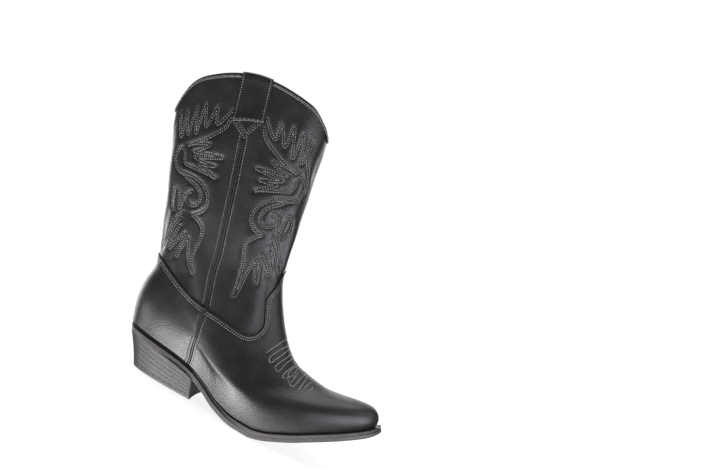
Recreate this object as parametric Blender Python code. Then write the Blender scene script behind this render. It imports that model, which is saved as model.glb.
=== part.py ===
"""Cowboy boot, right foot, as an assembly of separate leather, board, cork, rubber and steel pieces.

Frame: metres, +X toward the toe, +Z up, the outer (lateral) side toward -Y, the origin at the
bottom centre of the boot's box. Everything below is designed in millimetres in the side view,
with x = 0 at the bottom back corner of the heel, and moved to the frame by place().

The upper is one design surface. surface(theta, v) runs round the boot with theta (0 at the back
seam line, 90 at the outer side seam, 180 at the toe and shin, 270 at the inner side seam) and up
it with v (0 where the upper meets the sole, 1 at the topline). Each leather piece is a patch of
one shared grid on that surface, given its thickness by two offsets along the surface normal.
"""

import math

import bmesh
import bpy
from mathutils import Vector

# ---------------------------------------------------------------- driving dimensions (mm)

MM = 0.001
GAP = 0.3                      # clearance between pieces that touch

BACK_LIP_X = -96.6             # rearmost point of the boot, at the topline
TOE_TIP_X = 266.0              # foremost point of the sole
CENTRE_X = (BACK_LIP_X + TOE_TIP_X) / 2
CENTRE_Y = 0.2                 # the sole bulges this much more on the inner side

OUTSOLE = 4.9                  # outsole thickness
WELT = 3.3                     # welt and heel rand thickness
WELT_REACH = 7.0               # how far they reach in under the upper
INSOLE = 2.4
INSOLE_MARGIN = 4.6            # from the upper's bottom edge in to the insole's edge
SOCK = 0.9                     # sock lining over the insole
SOCK_MARGIN = 4.9
FILLER_MARGIN = 8.0
TOP_PIECE = 5.0                # rubber top piece of the heel
HEEL_LIFTS = 5                 # leather lifts between the top piece and the outsole
HEEL_HALF_WIDTH = 27.0         # at the ground
HEEL_SPREAD = 0.11             # extra half width per mm of height
HEEL_INNER_CUT = 3.0           # the breast is narrower on the inner side, like the sole's waist
BREAST_OUTER_X = 69.5          # heel breast at the ground, outer side
BREAST_INNER_X = 73.5          # heel breast at the ground, inner side
BREAST_LEAN = 0.36             # the breast runs back this much per mm of height
HEEL_BACK_X = -3.5             # rearmost point of the heel at the ground
HEEL_BACK_LEAN = 0.50          # the heel's back runs back this much per mm of height
HEEL_BACK_FLARE = 0.0037       # and this much more per mm of height, squared
HEEL_ROUNDNESS = 0.75          # exponent of the outline: 1 is an ellipse, less is squarer
NAIL_RADIUS = 1.0
NAIL_HOLE_RADIUS = 1.3
NAIL_HOLE_LOW = 8.5            # height of the holes' blind ends
NAIL_RECESS = 0.7              # from a nail's end to the face of its lift
NAIL_SIDES = 8
NAIL_SPOTS = [(-7.0, 0.0), (8.0, 17.0), (8.0, -17.0), (36.0, 18.0), (36.0, -18.0)]
SHANK = (6.0, 98.0)            # x of the shank's ends
SHANK_HALF_WIDTH = 6.5
SHANK_HALF_THICKNESS = 0.7

# Layers of the upper, as (inner, outer) offsets from the design surface
COVER = (0.45, 1.95)           # vamp and counter cover, which lap over the shaft
SHAFT = (-1.4, 0.0)            # shaft panels, and the stiffeners below them
LINING = (-2.8, -1.85)         # all linings
STRAP_INNER = (-5.1, -4.0)     # the pull strap's leg inside the shaft
BINDING_OUTER = (0.4, 1.0)
BINDING_INNER = (-3.8, -3.2)
TOP_TRIM = -0.7                # shaft and lining end this far below the binding
PIPING_HALF_WIDTH = 0.6
SEAM_HALF_GAP = 1.1            # from the seam's middle to each panel's edge, beside the piping

# Outline of the boot from the side: (v, x, z) up the back and up the front
BACK_LINE = [
    (0.00, -25.0, 40.5), (0.05, -28.6, 52.0), (0.10, -31.8, 63.5), (0.16, -33.4, 76.0),
    (0.22, -33.2, 88.0), (0.30, -31.4, 101.0), (0.36, -32.6, 110.0), (0.42, -37.6, 122.5),
    (0.60, -54.6, 166.0), (0.80, -75.0, 214.0), (1.00, -94.4, 262.5)]
FRONT_LINE = [
    (0.00, 256.5, 66.5), (0.02, 257.0, 73.0), (0.045, 253.2, 80.2), (0.075, 243.5, 83.4),
    (0.12, 221.0, 80.2), (0.17, 194.5, 76.3), (0.215, 171.0, 78.8), (0.25, 151.0, 83.8),
    (0.28, 137.0, 93.5), (0.32, 122.0, 110.0), (0.36, 107.0, 131.5), (0.40, 94.6, 154.0),
    (0.45, 92.0, 168.0), (0.60, 85.1, 206.5), (0.80, 75.1, 258.0), (1.00, 66.0, 310.5)]
# Rise of the topline above the straight line from its back dip to its front dip: (theta, mm)
SCALLOP = [(0, 0.0), (7, 3.4), (25, 26.5), (45, 38.5), (90, 48.0), (135, 30.0), (155, 13.5),
           (172, 1.7), (180, 0.0)]
# Share of the way from the back line to the front line at which the side seam runs: (v, share)
SEAM_SHARE = [(0.0, 0.268), (0.06, 0.279), (0.12, 0.313), (0.20, 0.374), (0.28, 0.441),
              (0.36, 0.490), (0.43, 0.505), (0.52, 0.492), (0.65, 0.475), (0.80, 0.453),
              (1.0, 0.430)]
# Half width of the upper by height: (v, heel, waist, ball, toe)
HALF_WIDTHS = [
    (0.00, 43.0, 28.0, 45.0, 38.0), (0.06, 46.0, 32.5, 46.5, 37.5), (0.16, 44.5, 34.5, 43.5, 35.5),
    (0.28, 36.0, 32.5, 36.5, 31.0), (0.40, 30.0, 30.5, 30.5, 29.0), (0.55, 32.0, 32.5, 32.5, 31.5),
    (0.75, 36.0, 36.0, 36.0, 36.0), (1.00, 39.0, 39.0, 39.0, 39.0)]
WIDTH_STATIONS = (0.0, 0.30, 0.62, 1.0)
MEDIAL_WAIST_CUT = 4.0         # the sole's waist is narrower on the inner side
# Bottom of the outsole along the foot: (x, z). Where it is below the ground, the tread is flat.
SOLE_LINE = [
    (-30.0, 31.8), (-10.0, 31.2), (10.0, 29.5), (30.0, 27.3), (46.0, 24.6), (60.0, 21.0),
    (78.0, 13.6), (92.0, 6.9), (104.0, 3.1), (113.0, 1.0), (121.0, 0.0), (128.0, -0.2),
    (137.0, -0.2), (143.0, 0.3), (152.0, 2.4), (160.0, 5.1), (170.0, 9.2), (184.0, 15.2),
    (198.0, 22.0), (224.0, 34.5), (245.0, 45.2), (257.0, 52.0), (268.0, 61.0)]
# Margin beyond the upper of the sole's edge at the welt or rand, and at the ground: (theta, mm, mm)
SOLE_MARGIN = [(0, 2.2, -2.6), (30, 2.4, 0.6), (60, 2.6, 2.4), (90, 2.6, 2.6), (110, 4.0, 3.6),
               (135, 5.6, 5.6), (165, 6.4, 7.0), (180, 7.6, 8.4)]
TOE_SWING = 4.0                # the toe's tip lies this far toward the inner side
# Upper edge of the counter and the vamp: (theta, v), with a throat that rises steeply in front
COVER_EDGE = [
    (0, 0.400), (26, 0.359), (43, 0.332), (55, 0.3155), (65, 0.306), (75, 0.307), (85, 0.318),
    (93, 0.323), (105, 0.321), (117, 0.3085), (123, 0.302), (128, 0.301), (133, 0.3065),
    (138, 0.3175), (141, 0.329), (142, 0.346), (142.6, 0.360), (143.6, 0.3685), (147, 0.376),
    (155, 0.3865), (165, 0.4015), (180, 0.445)]

# The shared grid
BACK_COLUMNS = (0, 10, 20, 31, 42, 53, 64, 74, 82, 90)
FRONT_COLUMNS = (96, 102, 108, 114, 120, 126, 132, 138, 144, 150, 156, 162, 167, 172, 176, 180)
FOOT_ROWS = 9
SHAFT_ROWS = 8                 # the last one lies under the topline binding
TOE_CLOSENESS = 1.45           # foot rows lie closer together toward the sole

STRAP_HALF_WIDTH = 16.5
STRAP_THICKNESS = 1.3
STRAP_INNER_THICKNESS = 1.1
STRAP_CLEARANCE = 0.45         # from the design surface to the strap's outside leg
STRAP_OVER_BINDING = 1.35      # the same beside the topline binding
STRAP_RISE = 1.3               # from the topline to the strap's underside
STRAP_LENGTH = 48.0            # outside leg of the pull strap below the topline
STRAP_SLANT = 3.6              # its lower end drops this much toward the heel, and rises forward
STRAP_INSIDE_LENGTH = 38.0     # the leg inside the shaft
PATCH_DEPTH = 17.0             # triangular patch below the strap
PATCH = (0.45, 1.9)            # its layer
PATCH_TIP_HALF_WIDTH = 1.2
PIPING_CRESTS = (2.65, 1.2)    # the piping's top beside the covers and beside the shaft
PIPING_ROUNDING = 0.4
BINDING_DEPTH = 4.0
BINDING_CREST = 1.0            # heights above the topline: the fold's top,
BINDING_SHOULDER = 0.5         # its rounded shoulders
BINDING_INSIDE = 0.15          # and its underside

# ---------------------------------------------------------------- small geometry tools


def smooth_curve(table):
    """A smooth function through the rows (knot, value, value...) of a table."""
    knots = [float(row[0]) for row in table]
    values = [Vector(tuple(row[1:]) + (0.0,) * (4 - len(row[1:]))) for row in table]
    slopes = []
    for i in range(len(table)):
        low = max(i - 1, 0)
        high = min(i + 1, len(table) - 1)
        slopes.append((values[high] - values[low]) / (knots[high] - knots[low]))

    def value_at(knot):
        knot = min(max(knot, knots[0]), knots[-1])
        i = max(j for j in range(len(knots) - 1) if knots[j] <= knot)
        span = knots[i + 1] - knots[i]
        f = (knot - knots[i]) / span
        rise = f * f * (3 - 2 * f)
        lead_in = f * (1 - f) * (1 - f) * span
        lead_out = -f * f * (1 - f) * span
        return (values[i] * (1 - rise) + values[i + 1] * rise
                + slopes[i] * lead_in + slopes[i + 1] * lead_out)

    return value_at


back_line = smooth_curve(BACK_LINE)
front_line = smooth_curve(FRONT_LINE)
scallop = smooth_curve(SCALLOP)
seam_share = smooth_curve(SEAM_SHARE)
half_widths = smooth_curve(HALF_WIDTHS)
sole_line = smooth_curve(SOLE_LINE)
sole_margin = smooth_curve(SOLE_MARGIN)
cover_edge = smooth_curve(COVER_EDGE)


def sole_height(x):
    """Height of the outsole's underside; the ball's tread lies flat on the ground."""
    return max(sole_line(x)[0], 0.0)


def fold(theta):
    """Theta measured from the back on either side, 0 to 180."""
    theta = theta % 360.0
    return min(theta, 360.0 - theta)


def across(theta, v):
    """Share of the way from the back line to the front line, and the sideways spread, -1 to 1."""
    share = seam_share(v)[0]
    pull = share / (1.0 - share)
    s = math.sin(math.radians(theta) / 2) ** 2
    stretch = 1.0 + (pull - 1.0) * s
    return pull * s / stretch, math.sqrt(pull) * math.sin(math.radians(theta)) / stretch


def side_point(theta, v):
    """Side view (x, z) of the design surface."""
    t, _ = across(theta, v)
    back = back_line(v)
    front = front_line(v)
    x = back[0] + (front[0] - back[0]) * t
    z = back[1] + (front[1] - back[1]) * t
    heel = back_line(0)
    toe = front_line(0)
    sag = feather_z(heel[0] + (toe[0] - heel[0]) * t) - (heel[1] + (toe[1] - heel[1]) * t)
    return x, z + sag * (1 - v) ** 2 + scallop(fold(theta))[0] * v * v


def feather_z(x):
    """Height at which the upper's bottom edge rests on the welt and the rand."""
    return sole_height(x) + OUTSOLE + WELT + 2 * GAP


def half_width(t, v, inner_side):
    stations = half_widths(v)
    waist = stations[1] - (MEDIAL_WAIST_CUT * (1 - v) ** 6 if inner_side else 0.0)
    table = list(zip(WIDTH_STATIONS, (stations[0], waist, stations[2], stations[3])))
    return smooth_curve(table)(t)[0]


def surface(theta, v):
    """Point of the design surface, in side-view millimetres."""
    t, spread = across(theta, v)
    x, z = side_point(theta, v)
    swing = TOE_SWING * max(0.0, (t - 0.5) / 0.5) ** 2 * (1 - v) ** 6
    return Vector((x, swing - half_width(t, v, theta % 360.0 > 180.0) * spread, z))


def normal(theta, v):
    """Outward unit normal of the design surface."""
    step = 0.4
    rise = 0.004
    low = max(v - rise, 0.0)
    high = min(v + rise, 1.0)
    along = surface(theta + step, v) - surface(theta - step, v)
    up = surface(theta, high) - surface(theta, low)
    return along.cross(up).normalized()


def offset(theta, v, distance):
    """Point of the design surface moved out along its normal."""
    return surface(theta, v) + normal(theta, v) * distance


def place(point):
    """Side-view millimetres to the boot's own frame in metres."""
    return Vector((point[0] - CENTRE_X, point[1] - CENTRE_Y, point[2])) * MM


# ---------------------------------------------------------------- building objects


def clear_scene():
    for item in list(bpy.data.objects):
        bpy.data.objects.remove(item, do_unlink=True)


def material(name, colour, roughness, metallic=0.0):
    mat = bpy.data.materials.new(name)
    mat.use_nodes = True
    shader = mat.node_tree.nodes["Principled BSDF"]
    shader.inputs["Base Color"].default_value = (*colour, 1.0)
    shader.inputs["Roughness"].default_value = roughness
    shader.inputs["Metallic"].default_value = metallic
    return mat


FINISHES = {
    "leather": ((0.030, 0.028, 0.029), 0.42, 0.0),
    "lining": ((0.055, 0.048, 0.043), 0.70, 0.0),
    "sole": ((0.110, 0.085, 0.070), 0.55, 0.0),
    "stack": ((0.045, 0.038, 0.035), 0.45, 0.0),
    "rubber": ((0.040, 0.038, 0.038), 0.75, 0.0),
    "cork": ((0.360, 0.220, 0.110), 0.90, 0.0),
    "board": ((0.320, 0.220, 0.140), 0.85, 0.0),
    "stiffener": ((0.420, 0.340, 0.250), 0.80, 0.0),
    "steel": ((0.450, 0.450, 0.470), 0.35, 1.0),
}


def add_object(name, finish, vertices, faces, smooth=True):
    mesh = bpy.data.meshes.new(name)
    mesh.from_pydata([place(v) for v in vertices], [], faces)
    work = bmesh.new()
    work.from_mesh(mesh)
    bmesh.ops.recalc_face_normals(work, faces=work.faces)
    bmesh.ops.triangulate(work, faces=work.faces, quad_method="SHORT_EDGE")
    work.to_mesh(mesh)
    work.free()
    if smooth:
        mesh.shade_smooth()
        mesh.set_sharp_from_angle(angle=math.radians(40))
    mesh.materials.append(material(name + "_finish", *FINISHES[finish]))
    item = bpy.data.objects.new(name, mesh)
    bpy.context.scene.collection.objects.link(item)
    return item


def slab(name, finish, outer, inner):
    """Closed solid between two matching grids of points (rows of columns)."""
    rows = len(outer)
    columns = len(outer[0])
    vertices = [p for row in outer for p in row] + [p for row in inner for p in row]
    back = rows * columns
    faces = []
    for r in range(rows - 1):
        for c in range(columns - 1):
            a = r * columns + c
            cell = (a, a + 1, a + columns + 1, a + columns)
            faces.append(cell)
            faces.append(tuple(back + i for i in reversed(cell)))
    rim = [c for c in range(columns)]
    rim += [r * columns + columns - 1 for r in range(1, rows)]
    rim += [(rows - 1) * columns + c for c in range(columns - 2, -1, -1)]
    rim += [r * columns for r in range(rows - 2, 0, -1)]
    for i, a in enumerate(rim):
        b = rim[(i + 1) % len(rim)]
        faces.append((a, back + a, back + b, b))
    return add_object(name, finish, vertices, faces)


def swept(name, finish, rings):
    """Closed solid through matching rings of points, with both ends capped."""
    count = len(rings[0])
    vertices = [p for ring in rings for p in ring]
    faces = [tuple(range(count)), tuple((len(rings) - 1) * count + i for i in range(count))]
    for r in range(len(rings) - 1):
        for i in range(count):
            a = r * count + i
            b = r * count + (i + 1) % count
            faces.append((a, b, b + count, a + count))
    return add_object(name, finish, vertices, faces)


# ---------------------------------------------------------------- the upper

OUTER_COLUMNS = BACK_COLUMNS + FRONT_COLUMNS
SEAM_COLUMN = len(BACK_COLUMNS) - 1


def with_midpoints(columns):
    """The columns and the points halfway between them."""
    finer = []
    for low, high in zip(columns, columns[1:]):
        finer += [low, (low + high) / 2]
    return finer + [columns[-1]]


def row_height(row, theta):
    """v of a row of the shared grid; rows FOOT_ROWS and up belong to the shaft."""
    edge = cover_edge(fold(theta))[0]
    if row <= FOOT_ROWS:
        return edge * (row / FOOT_ROWS) ** TOE_CLOSENESS
    if row == FOOT_ROWS + SHAFT_ROWS:
        return 1.0
    return edge + (binding_foot(theta) - edge) * (row - FOOT_ROWS) / (SHAFT_ROWS - 1)


def binding_foot(theta):
    """v at the lower edge of the topline binding."""
    return 1.0 - BINDING_DEPTH / millimetres_up(theta, 0.97)


def millimetres_along(theta, v):
    """Length of one degree of theta at a place on the surface."""
    return (surface(theta + 0.5, v) - surface(theta - 0.5, v)).length


def millimetres_up(theta, v):
    """Length of one unit of v at a place on the surface."""
    low = min(v, 0.99)
    return (surface(theta, low + 0.01) - surface(theta, low)).length / 0.01


def half_columns(front):
    """Columns of a front or a back panel, from the outer seam to the inner seam."""
    if front:
        side = OUTER_COLUMNS[SEAM_COLUMN:]
        return list(side) + [360 - c for c in reversed(side[:-1])]
    side = OUTER_COLUMNS[:SEAM_COLUMN + 1]
    return [-c for c in reversed(side)] + list(side[1:])


def panel_point(theta, row, inset, trim, distance):
    """Grid point moved off the side seam by inset and along the column by trim, both in mm."""
    v = row_height(row, theta)
    v = min(max(v + trim / millimetres_up(theta, v), 0.0), 1.0)
    theta += inset / millimetres_along(theta, v)
    point = offset(theta, v, distance)
    if row == 0:
        point[2] = feather_z(point[0])
    return point


def panel(name, finish, front, rows, layer, low_trim=0.0, high_trim=0.0, columns=None,
          inset=SEAM_HALF_GAP):
    """A front or back panel of one layer between two rows of the shared grid."""
    thetas = columns or half_columns(front)
    span = list(range(rows[0], rows[1] + 1))
    grids = []
    for distance in (layer[1], layer[0]):
        grid = []
        for row in span:
            trim = low_trim if row == span[0] else high_trim if row == span[-1] else 0.0
            line = []
            for i, theta in enumerate(thetas):
                shift = inset if i == 0 else -inset if i == len(thetas) - 1 else 0.0
                line.append(panel_point(theta, row, shift, trim, distance))
            grid.append(line)
        grids.append(grid)
    return slab(name, finish, grids[0], grids[1])


def build_upper():
    top = FOOT_ROWS + SHAFT_ROWS
    panel("vamp", "leather", True, (0, FOOT_ROWS), COVER)
    panel("counter_cover", "leather", False, (0, FOOT_ROWS), COVER)
    panel("shaft_front", "leather", True, (FOOT_ROWS - 1, top), SHAFT, high_trim=TOP_TRIM)
    panel("shaft_back", "leather", False, (FOOT_ROWS - 1, top), SHAFT, high_trim=TOP_TRIM)
    panel("shaft_lining_front", "lining", True, (FOOT_ROWS, top), LINING, GAP, TOP_TRIM, inset=GAP)
    panel("shaft_lining_back", "lining", False, (FOOT_ROWS, top), LINING, GAP, TOP_TRIM, inset=GAP)
    panel("vamp_lining", "lining", True, (0, FOOT_ROWS), LINING, 0.0, -GAP, inset=GAP)
    panel("counter_lining", "lining", False, (0, FOOT_ROWS), LINING, 0.0, -GAP, inset=GAP)
    panel("heel_counter_stiffener", "stiffener", False, (0, FOOT_ROWS - 2), SHAFT)
    toe = [c for c in half_columns(True) if 143 < c < 217]
    panel("toe_puff", "stiffener", True, (0, 4), SHAFT, columns=toe, inset=0.0)


def build_piping(name, seam):
    """The narrow folded strip that stands up in a side seam, from the sole to the strap patch."""
    rings = []
    for row in range(FOOT_ROWS + SHAFT_ROWS):
        v = min(row_height(row, seam), PATCH_TIP_V - SMALL_V)
        crest = PIPING_CRESTS[0] if row <= FOOT_ROWS else PIPING_CRESTS[1]
        edge = crest - PIPING_ROUNDING
        half = PIPING_HALF_WIDTH / millimetres_along(seam, v)
        ring = [offset(seam - half, v, SHAFT[0]), offset(seam + half, v, SHAFT[0]),
                offset(seam + half, v, edge), offset(seam + half / 2, v, crest),
                offset(seam - half / 2, v, crest), offset(seam - half, v, edge)]
        if row == 0:
            for point in ring:
                point[2] = feather_z(point[0])
        rings.append(ring)
        if v == PATCH_TIP_V - SMALL_V:
            break
    return swept(name, "leather", rings)


def build_strap(name, seam):
    """Pull strap: one band from its outer stitching over the topline to its inner stitching."""
    stations = []
    for drop in (STRAP_LENGTH, 30.0, 18.0, 8.0, 3.0):
        near = STRAP_OVER_BINDING if drop <= 8.0 else STRAP_CLEARANCE
        stations.append((drop, near, STRAP_THICKNESS))
    stations.append((0.0, STRAP_OVER_BINDING, STRAP_THICKNESS))
    for drop in (0.0, 3.0, 8.0, 18.0, 28.0, STRAP_INSIDE_LENGTH):
        stations.append((drop, STRAP_INNER[1], -STRAP_INNER_THICKNESS))
    side = 1 if seam < 180 else -1
    outer = []
    inner = []
    for drop, near, thickness in stations:
        outer_line = []
        inner_line = []
        slant = STRAP_SLANT * min(1.0, drop / STRAP_LENGTH) ** 2
        for step in range(5):
            across_share = step / 2 - 1
            v = 1.0 + (slant * across_share - drop) / millimetres_up(seam, 0.97)
            theta = seam + side * STRAP_HALF_WIDTH * across_share / millimetres_along(seam, v)
            up = (surface(theta, 1.0) - surface(theta, 0.98)).normalized()
            lift = STRAP_RISE if drop == 0.0 else 0.0
            crest = STRAP_RISE + abs(thickness) if drop == 0.0 else 0.0
            inner_line.append(offset(theta, v, near) + up * lift)
            outer_line.append(offset(theta, v, near + thickness) + up * crest)
        outer.append(outer_line)
        inner.append(inner_line)
    return slab(name, "leather", outer, inner)


STRAP_BOTTOM_V = 1.0 - STRAP_LENGTH / millimetres_up(90, 0.97)
PATCH_TIP_V = STRAP_BOTTOM_V - (PATCH_DEPTH + 0.8) / millimetres_up(90, STRAP_BOTTOM_V)
SMALL_V = 0.004                # keeps pieces that meet at a height apart


def build_patch(name, seam):
    """Triangular patch that anchors the strap, its point down on the side seam."""
    steps = 4
    side = 1 if seam < 180 else -1
    grids = []
    for distance in reversed(PATCH):
        grid = []
        for row in range(steps + 1):
            share = row / steps
            half = PATCH_TIP_HALF_WIDTH + (STRAP_HALF_WIDTH - PATCH_TIP_HALF_WIDTH) * share
            line = []
            for column in range(5):
                slant = STRAP_SLANT * share * (column / 2 - 1) / millimetres_up(90, 0.97)
                v = PATCH_TIP_V + (STRAP_BOTTOM_V - SMALL_V - PATCH_TIP_V) * share + slant
                turn = side * half * (column / 2 - 1) / millimetres_along(seam, v)
                line.append(offset(seam + turn, v, distance))
            grid.append(line)
        grids.append(grid)
    return slab(name, "leather", grids[0], grids[1])


def build_binding(name, front):
    """Narrow strip folded over the top edges of the shaft and its lining."""
    thetas = half_columns(front)
    rings = []
    for i, theta in enumerate(thetas):
        v_low = binding_foot(theta)
        if i in (0, len(thetas) - 1):
            shift = GAP / millimetres_along(theta, 1.0)
            theta += shift if i == 0 else -shift
        up = (surface(theta, 1.0) - surface(theta, 0.98)).normalized()
        rings.append([
            offset(theta, v_low, BINDING_OUTER[0]), offset(theta, v_low, BINDING_OUTER[1]),
            offset(theta, 1.0, BINDING_OUTER[1]) + up * BINDING_SHOULDER,
            offset(theta, 1.0, BINDING_OUTER[0]) + up * BINDING_CREST,
            offset(theta, 1.0, BINDING_INNER[1]) + up * BINDING_CREST,
            offset(theta, 1.0, BINDING_INNER[0]) + up * BINDING_SHOULDER,
            offset(theta, v_low, BINDING_INNER[0]), offset(theta, v_low, BINDING_INNER[1]),
            offset(theta, 1.0, BINDING_INNER[1]) + up * BINDING_INSIDE,
            offset(theta, 1.0, BINDING_OUTER[0]) + up * BINDING_INSIDE])
    return swept(name, "leather", rings)


# ---------------------------------------------------------------- the bottom


def plan_point(theta, margin):
    """Point of the upper's bottom edge moved out in plan."""
    here = surface(theta, 0.0)
    along = surface(theta + 0.4, 0.0) - surface(theta - 0.4, 0.0)
    out = Vector((along[1], -along[0], 0.0)).normalized()
    return here + out * margin


def plate(name, finish, thetas, levels):
    """Plate whose edge follows the columns; levels holds (height, margin of theta) twice."""
    rings = []
    for height, margin in levels:
        ring = []
        for theta in thetas:
            pair = []
            for angle in (theta, 360.0 - theta):
                p = plan_point(angle, margin(theta))
                pair.append(Vector((p[0], p[1], sole_height(p[0]) + height)))
            ring.append(pair)
        rings.append(ring)
    return ladder(name, finish, rings[0], rings[1])


def level_plate(name, finish, thetas, margin, low, high):
    """Plate with one margin all round."""
    return plate(name, finish, thetas, ((low, lambda theta: margin), (high, lambda theta: margin)))


def ladder(name, finish, low, high):
    """Closed solid from matching left-right pairs of points along the foot, low and high."""
    count = len(low)
    vertices = []
    for pairs in (low, high):
        for left, right in pairs:
            vertices += [left, right]
    lift = 2 * count
    faces = []
    for i in range(count - 1):
        a = 2 * i
        faces.append((a, a + 2, a + 3, a + 1))
        faces.append((lift + a, lift + a + 1, lift + a + 3, lift + a + 2))
        faces.append((a, lift + a, lift + a + 2, a + 2))
        faces.append((a + 1, a + 3, lift + a + 3, lift + a + 1))
    last = 2 * (count - 1)
    faces.append((0, 1, lift + 1, lift))
    faces.append((last, lift + last, lift + last + 1, last + 1))
    item = add_object(name, finish, vertices, faces)
    weld_points(item)
    return item


def weld_points(item):
    """Joins points that coincide, as at the toe tip and the heel's back."""
    work = bmesh.new()
    work.from_mesh(item.data)
    bmesh.ops.remove_doubles(work, verts=work.verts, dist=1e-6)
    bmesh.ops.dissolve_degenerate(work, dist=1e-7, edges=work.edges)
    bmesh.ops.recalc_face_normals(work, faces=work.faces)
    work.to_mesh(item.data)
    work.free()


def strip(name, finish, thetas, inner_margin, low, high):
    """Horseshoe strip along the sole's edge between two heights above the sole line."""
    rings = []
    for theta in thetas:
        edge = sole_margin(fold(theta))[0]
        ring = []
        corners = ((inner_margin, low), (0.0, low), (edge, low),
                   (edge, high), (0.0, high), (inner_margin, high))
        for margin, level in corners:
            p = plan_point(theta, margin)
            ring.append(Vector((p[0], p[1], sole_height(p[0]) + level)))
        rings.append(ring)
    return swept(name, finish, rings)


def seat_height(x):
    """Underside of the outsole over the heel, less a clearance."""
    return sole_height(x) - GAP


def heel_outline(level):
    """Rounded-back outline of the heel; level maps x to the height of the joint."""
    steps = 24
    ring = []
    for i in range(steps + 1):
        angle = math.pi * (i / steps - 0.5)
        breast = BREAST_OUTER_X if angle > 0 else BREAST_INNER_X
        height = 0.0
        for _ in range(4):
            back = HEEL_BACK_X - HEEL_BACK_LEAN * height - HEEL_BACK_FLARE * height * height
            front = breast - BREAST_LEAN * height
            x = back + (front - back) * (1 - math.cos(angle))
            height = level(x)
        wide = HEEL_HALF_WIDTH + HEEL_SPREAD * height
        if angle < 0:
            wide -= HEEL_INNER_CUT * (1 - math.cos(angle))
        round_off = abs(math.sin(angle)) ** HEEL_ROUNDNESS
        ring.append(Vector((x, -math.copysign(wide * round_off, angle), height)))
    return ring


def build_heel():
    """Top piece, then lifts whose joints fan out from the ground to the sloping seat."""
    ground = heel_outline(lambda x: 0.0)
    swept("heel_top_piece", "rubber", [ground, heel_outline(lambda x: TOP_PIECE)])
    lifts = []
    for number in range(HEEL_LIFTS):
        low = lift_joint(number / HEEL_LIFTS, GAP)
        high = lift_joint((number + 1) / HEEL_LIFTS, 0.0)
        rings = [heel_outline(low), heel_outline(high)]
        lifts.append(swept(f"heel_lift_{number + 1}", "stack", rings))
    return lifts


def lift_joint(share, clearance):
    """Height of a joint between lifts as a function of x."""
    def level(x):
        return TOP_PIECE + (seat_height(x) - TOP_PIECE) * share + clearance
    return level


def build_nails(lifts):
    """Nails down through the heel lifts, and the holes that they stand in."""
    cutters = []
    for number, (x, y) in enumerate(NAIL_SPOTS):
        high = seat_height(x) - NAIL_RECESS
        low = TOP_PIECE + (high - TOP_PIECE) / HEEL_LIFTS + NAIL_RECESS
        add_pin(f"heel_nail_{number + 1}", "steel", x, y, low, high, NAIL_RADIUS)
        cutter = add_pin(f"nail_hole_{number + 1}", "steel", x, y, NAIL_HOLE_LOW, 2 * high,
                         NAIL_HOLE_RADIUS)
        cutter.hide_render = True
        cutter.display_type = "WIRE"
        cutters.append(cutter)
    for lift in lifts:
        for cutter in cutters:
            cut = lift.modifiers.new("hole", "BOOLEAN")
            cut.operation = "DIFFERENCE"
            cut.solver = "EXACT"
            cut.object = cutter


def add_pin(name, finish, x, y, low, high, radius):
    rings = []
    for z in (low, high):
        ring = []
        for i in range(NAIL_SIDES):
            angle = 2 * math.pi * i / NAIL_SIDES
            ring.append(Vector((x + radius * math.cos(angle), y + radius * math.sin(angle), z)))
        rings.append(ring)
    return swept(name, finish, rings)


def build_bottom():
    """Outsole, welt, rand, filler, shank, insole board and sock lining, bottom to top."""
    thetas = with_midpoints(OUTER_COLUMNS)
    ground = (0.0, lambda theta: sole_margin(theta)[1])
    top = (OUTSOLE, lambda theta: sole_margin(theta)[1] * 0.4 + sole_margin(theta)[0] * 0.6)
    plate("outsole", "sole", thetas, (ground, top))
    welt_low = OUTSOLE + GAP
    welt_high = OUTSOLE + GAP + WELT
    front = with_midpoints(FRONT_COLUMNS)
    welt_columns = front + [360 - c for c in reversed(front[:-1])]
    strip("welt", "sole", welt_columns, -WELT_REACH, welt_low, welt_high)
    back = with_midpoints(BACK_COLUMNS)[:-1] + [92.0]
    rand_columns = [-c for c in reversed(back)] + back[1:]
    strip("heel_rand", "sole", rand_columns, -WELT_REACH, welt_low, welt_high)
    forefoot = [c for c in thetas if 113 < c < 168]
    level_plate("bottom_filler", "cork", forefoot, -FILLER_MARGIN, welt_low, welt_high)
    inside = [c for c in thetas if c <= 176]
    low = welt_high + GAP
    level_plate("insole_board", "board", inside, -INSOLE_MARGIN, low, low + INSOLE)
    low += INSOLE + GAP
    level_plate("sock_lining", "lining", inside, -SOCK_MARGIN, low, low + SOCK)
    build_shank(welt_low, welt_high)


def build_shank(low, high):
    """Sprung steel strip under the waist, from the heel seat to the back of the ball."""
    steps = 12
    pairs = [[], []]
    for i in range(steps + 1):
        x = SHANK[0] + (SHANK[1] - SHANK[0]) * i / steps
        middle = sole_height(x) + (low + high) / 2
        for pair, rise in zip(pairs, (-SHANK_HALF_THICKNESS, SHANK_HALF_THICKNESS)):
            left = Vector((x, -SHANK_HALF_WIDTH, middle + rise))
            pair.append((left, Vector((x, SHANK_HALF_WIDTH, middle + rise))))
    ladder("shank", "steel", pairs[0], pairs[1])


def main():
    clear_scene()
    build_upper()
    for side, seam in (("lateral", 90.0), ("medial", 270.0)):
        build_piping(f"side_piping_{side}", seam)
        build_strap(f"pull_strap_{side}", seam)
        build_patch(f"strap_patch_{side}", seam)
    build_binding("top_binding_front", True)
    build_binding("top_binding_back", False)
    build_bottom()
    build_nails(build_heel())


main()
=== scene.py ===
"""Looks of the cowboy boot: quilted leather, thread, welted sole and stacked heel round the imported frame.

Shapes are worked out in millimetres in the boot's side view, with x = 0 at the bottom back corner of
the heel, on the same design surface as the frame's leather: theta runs round the boot (0 at the back,
90 at the outer side seam, 180 at the toe and shin, 270 at the inner side seam) and v runs up it, from
0 at the sole to 1 at the topline. place() moves them to the frame.
"""

import math

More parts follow.
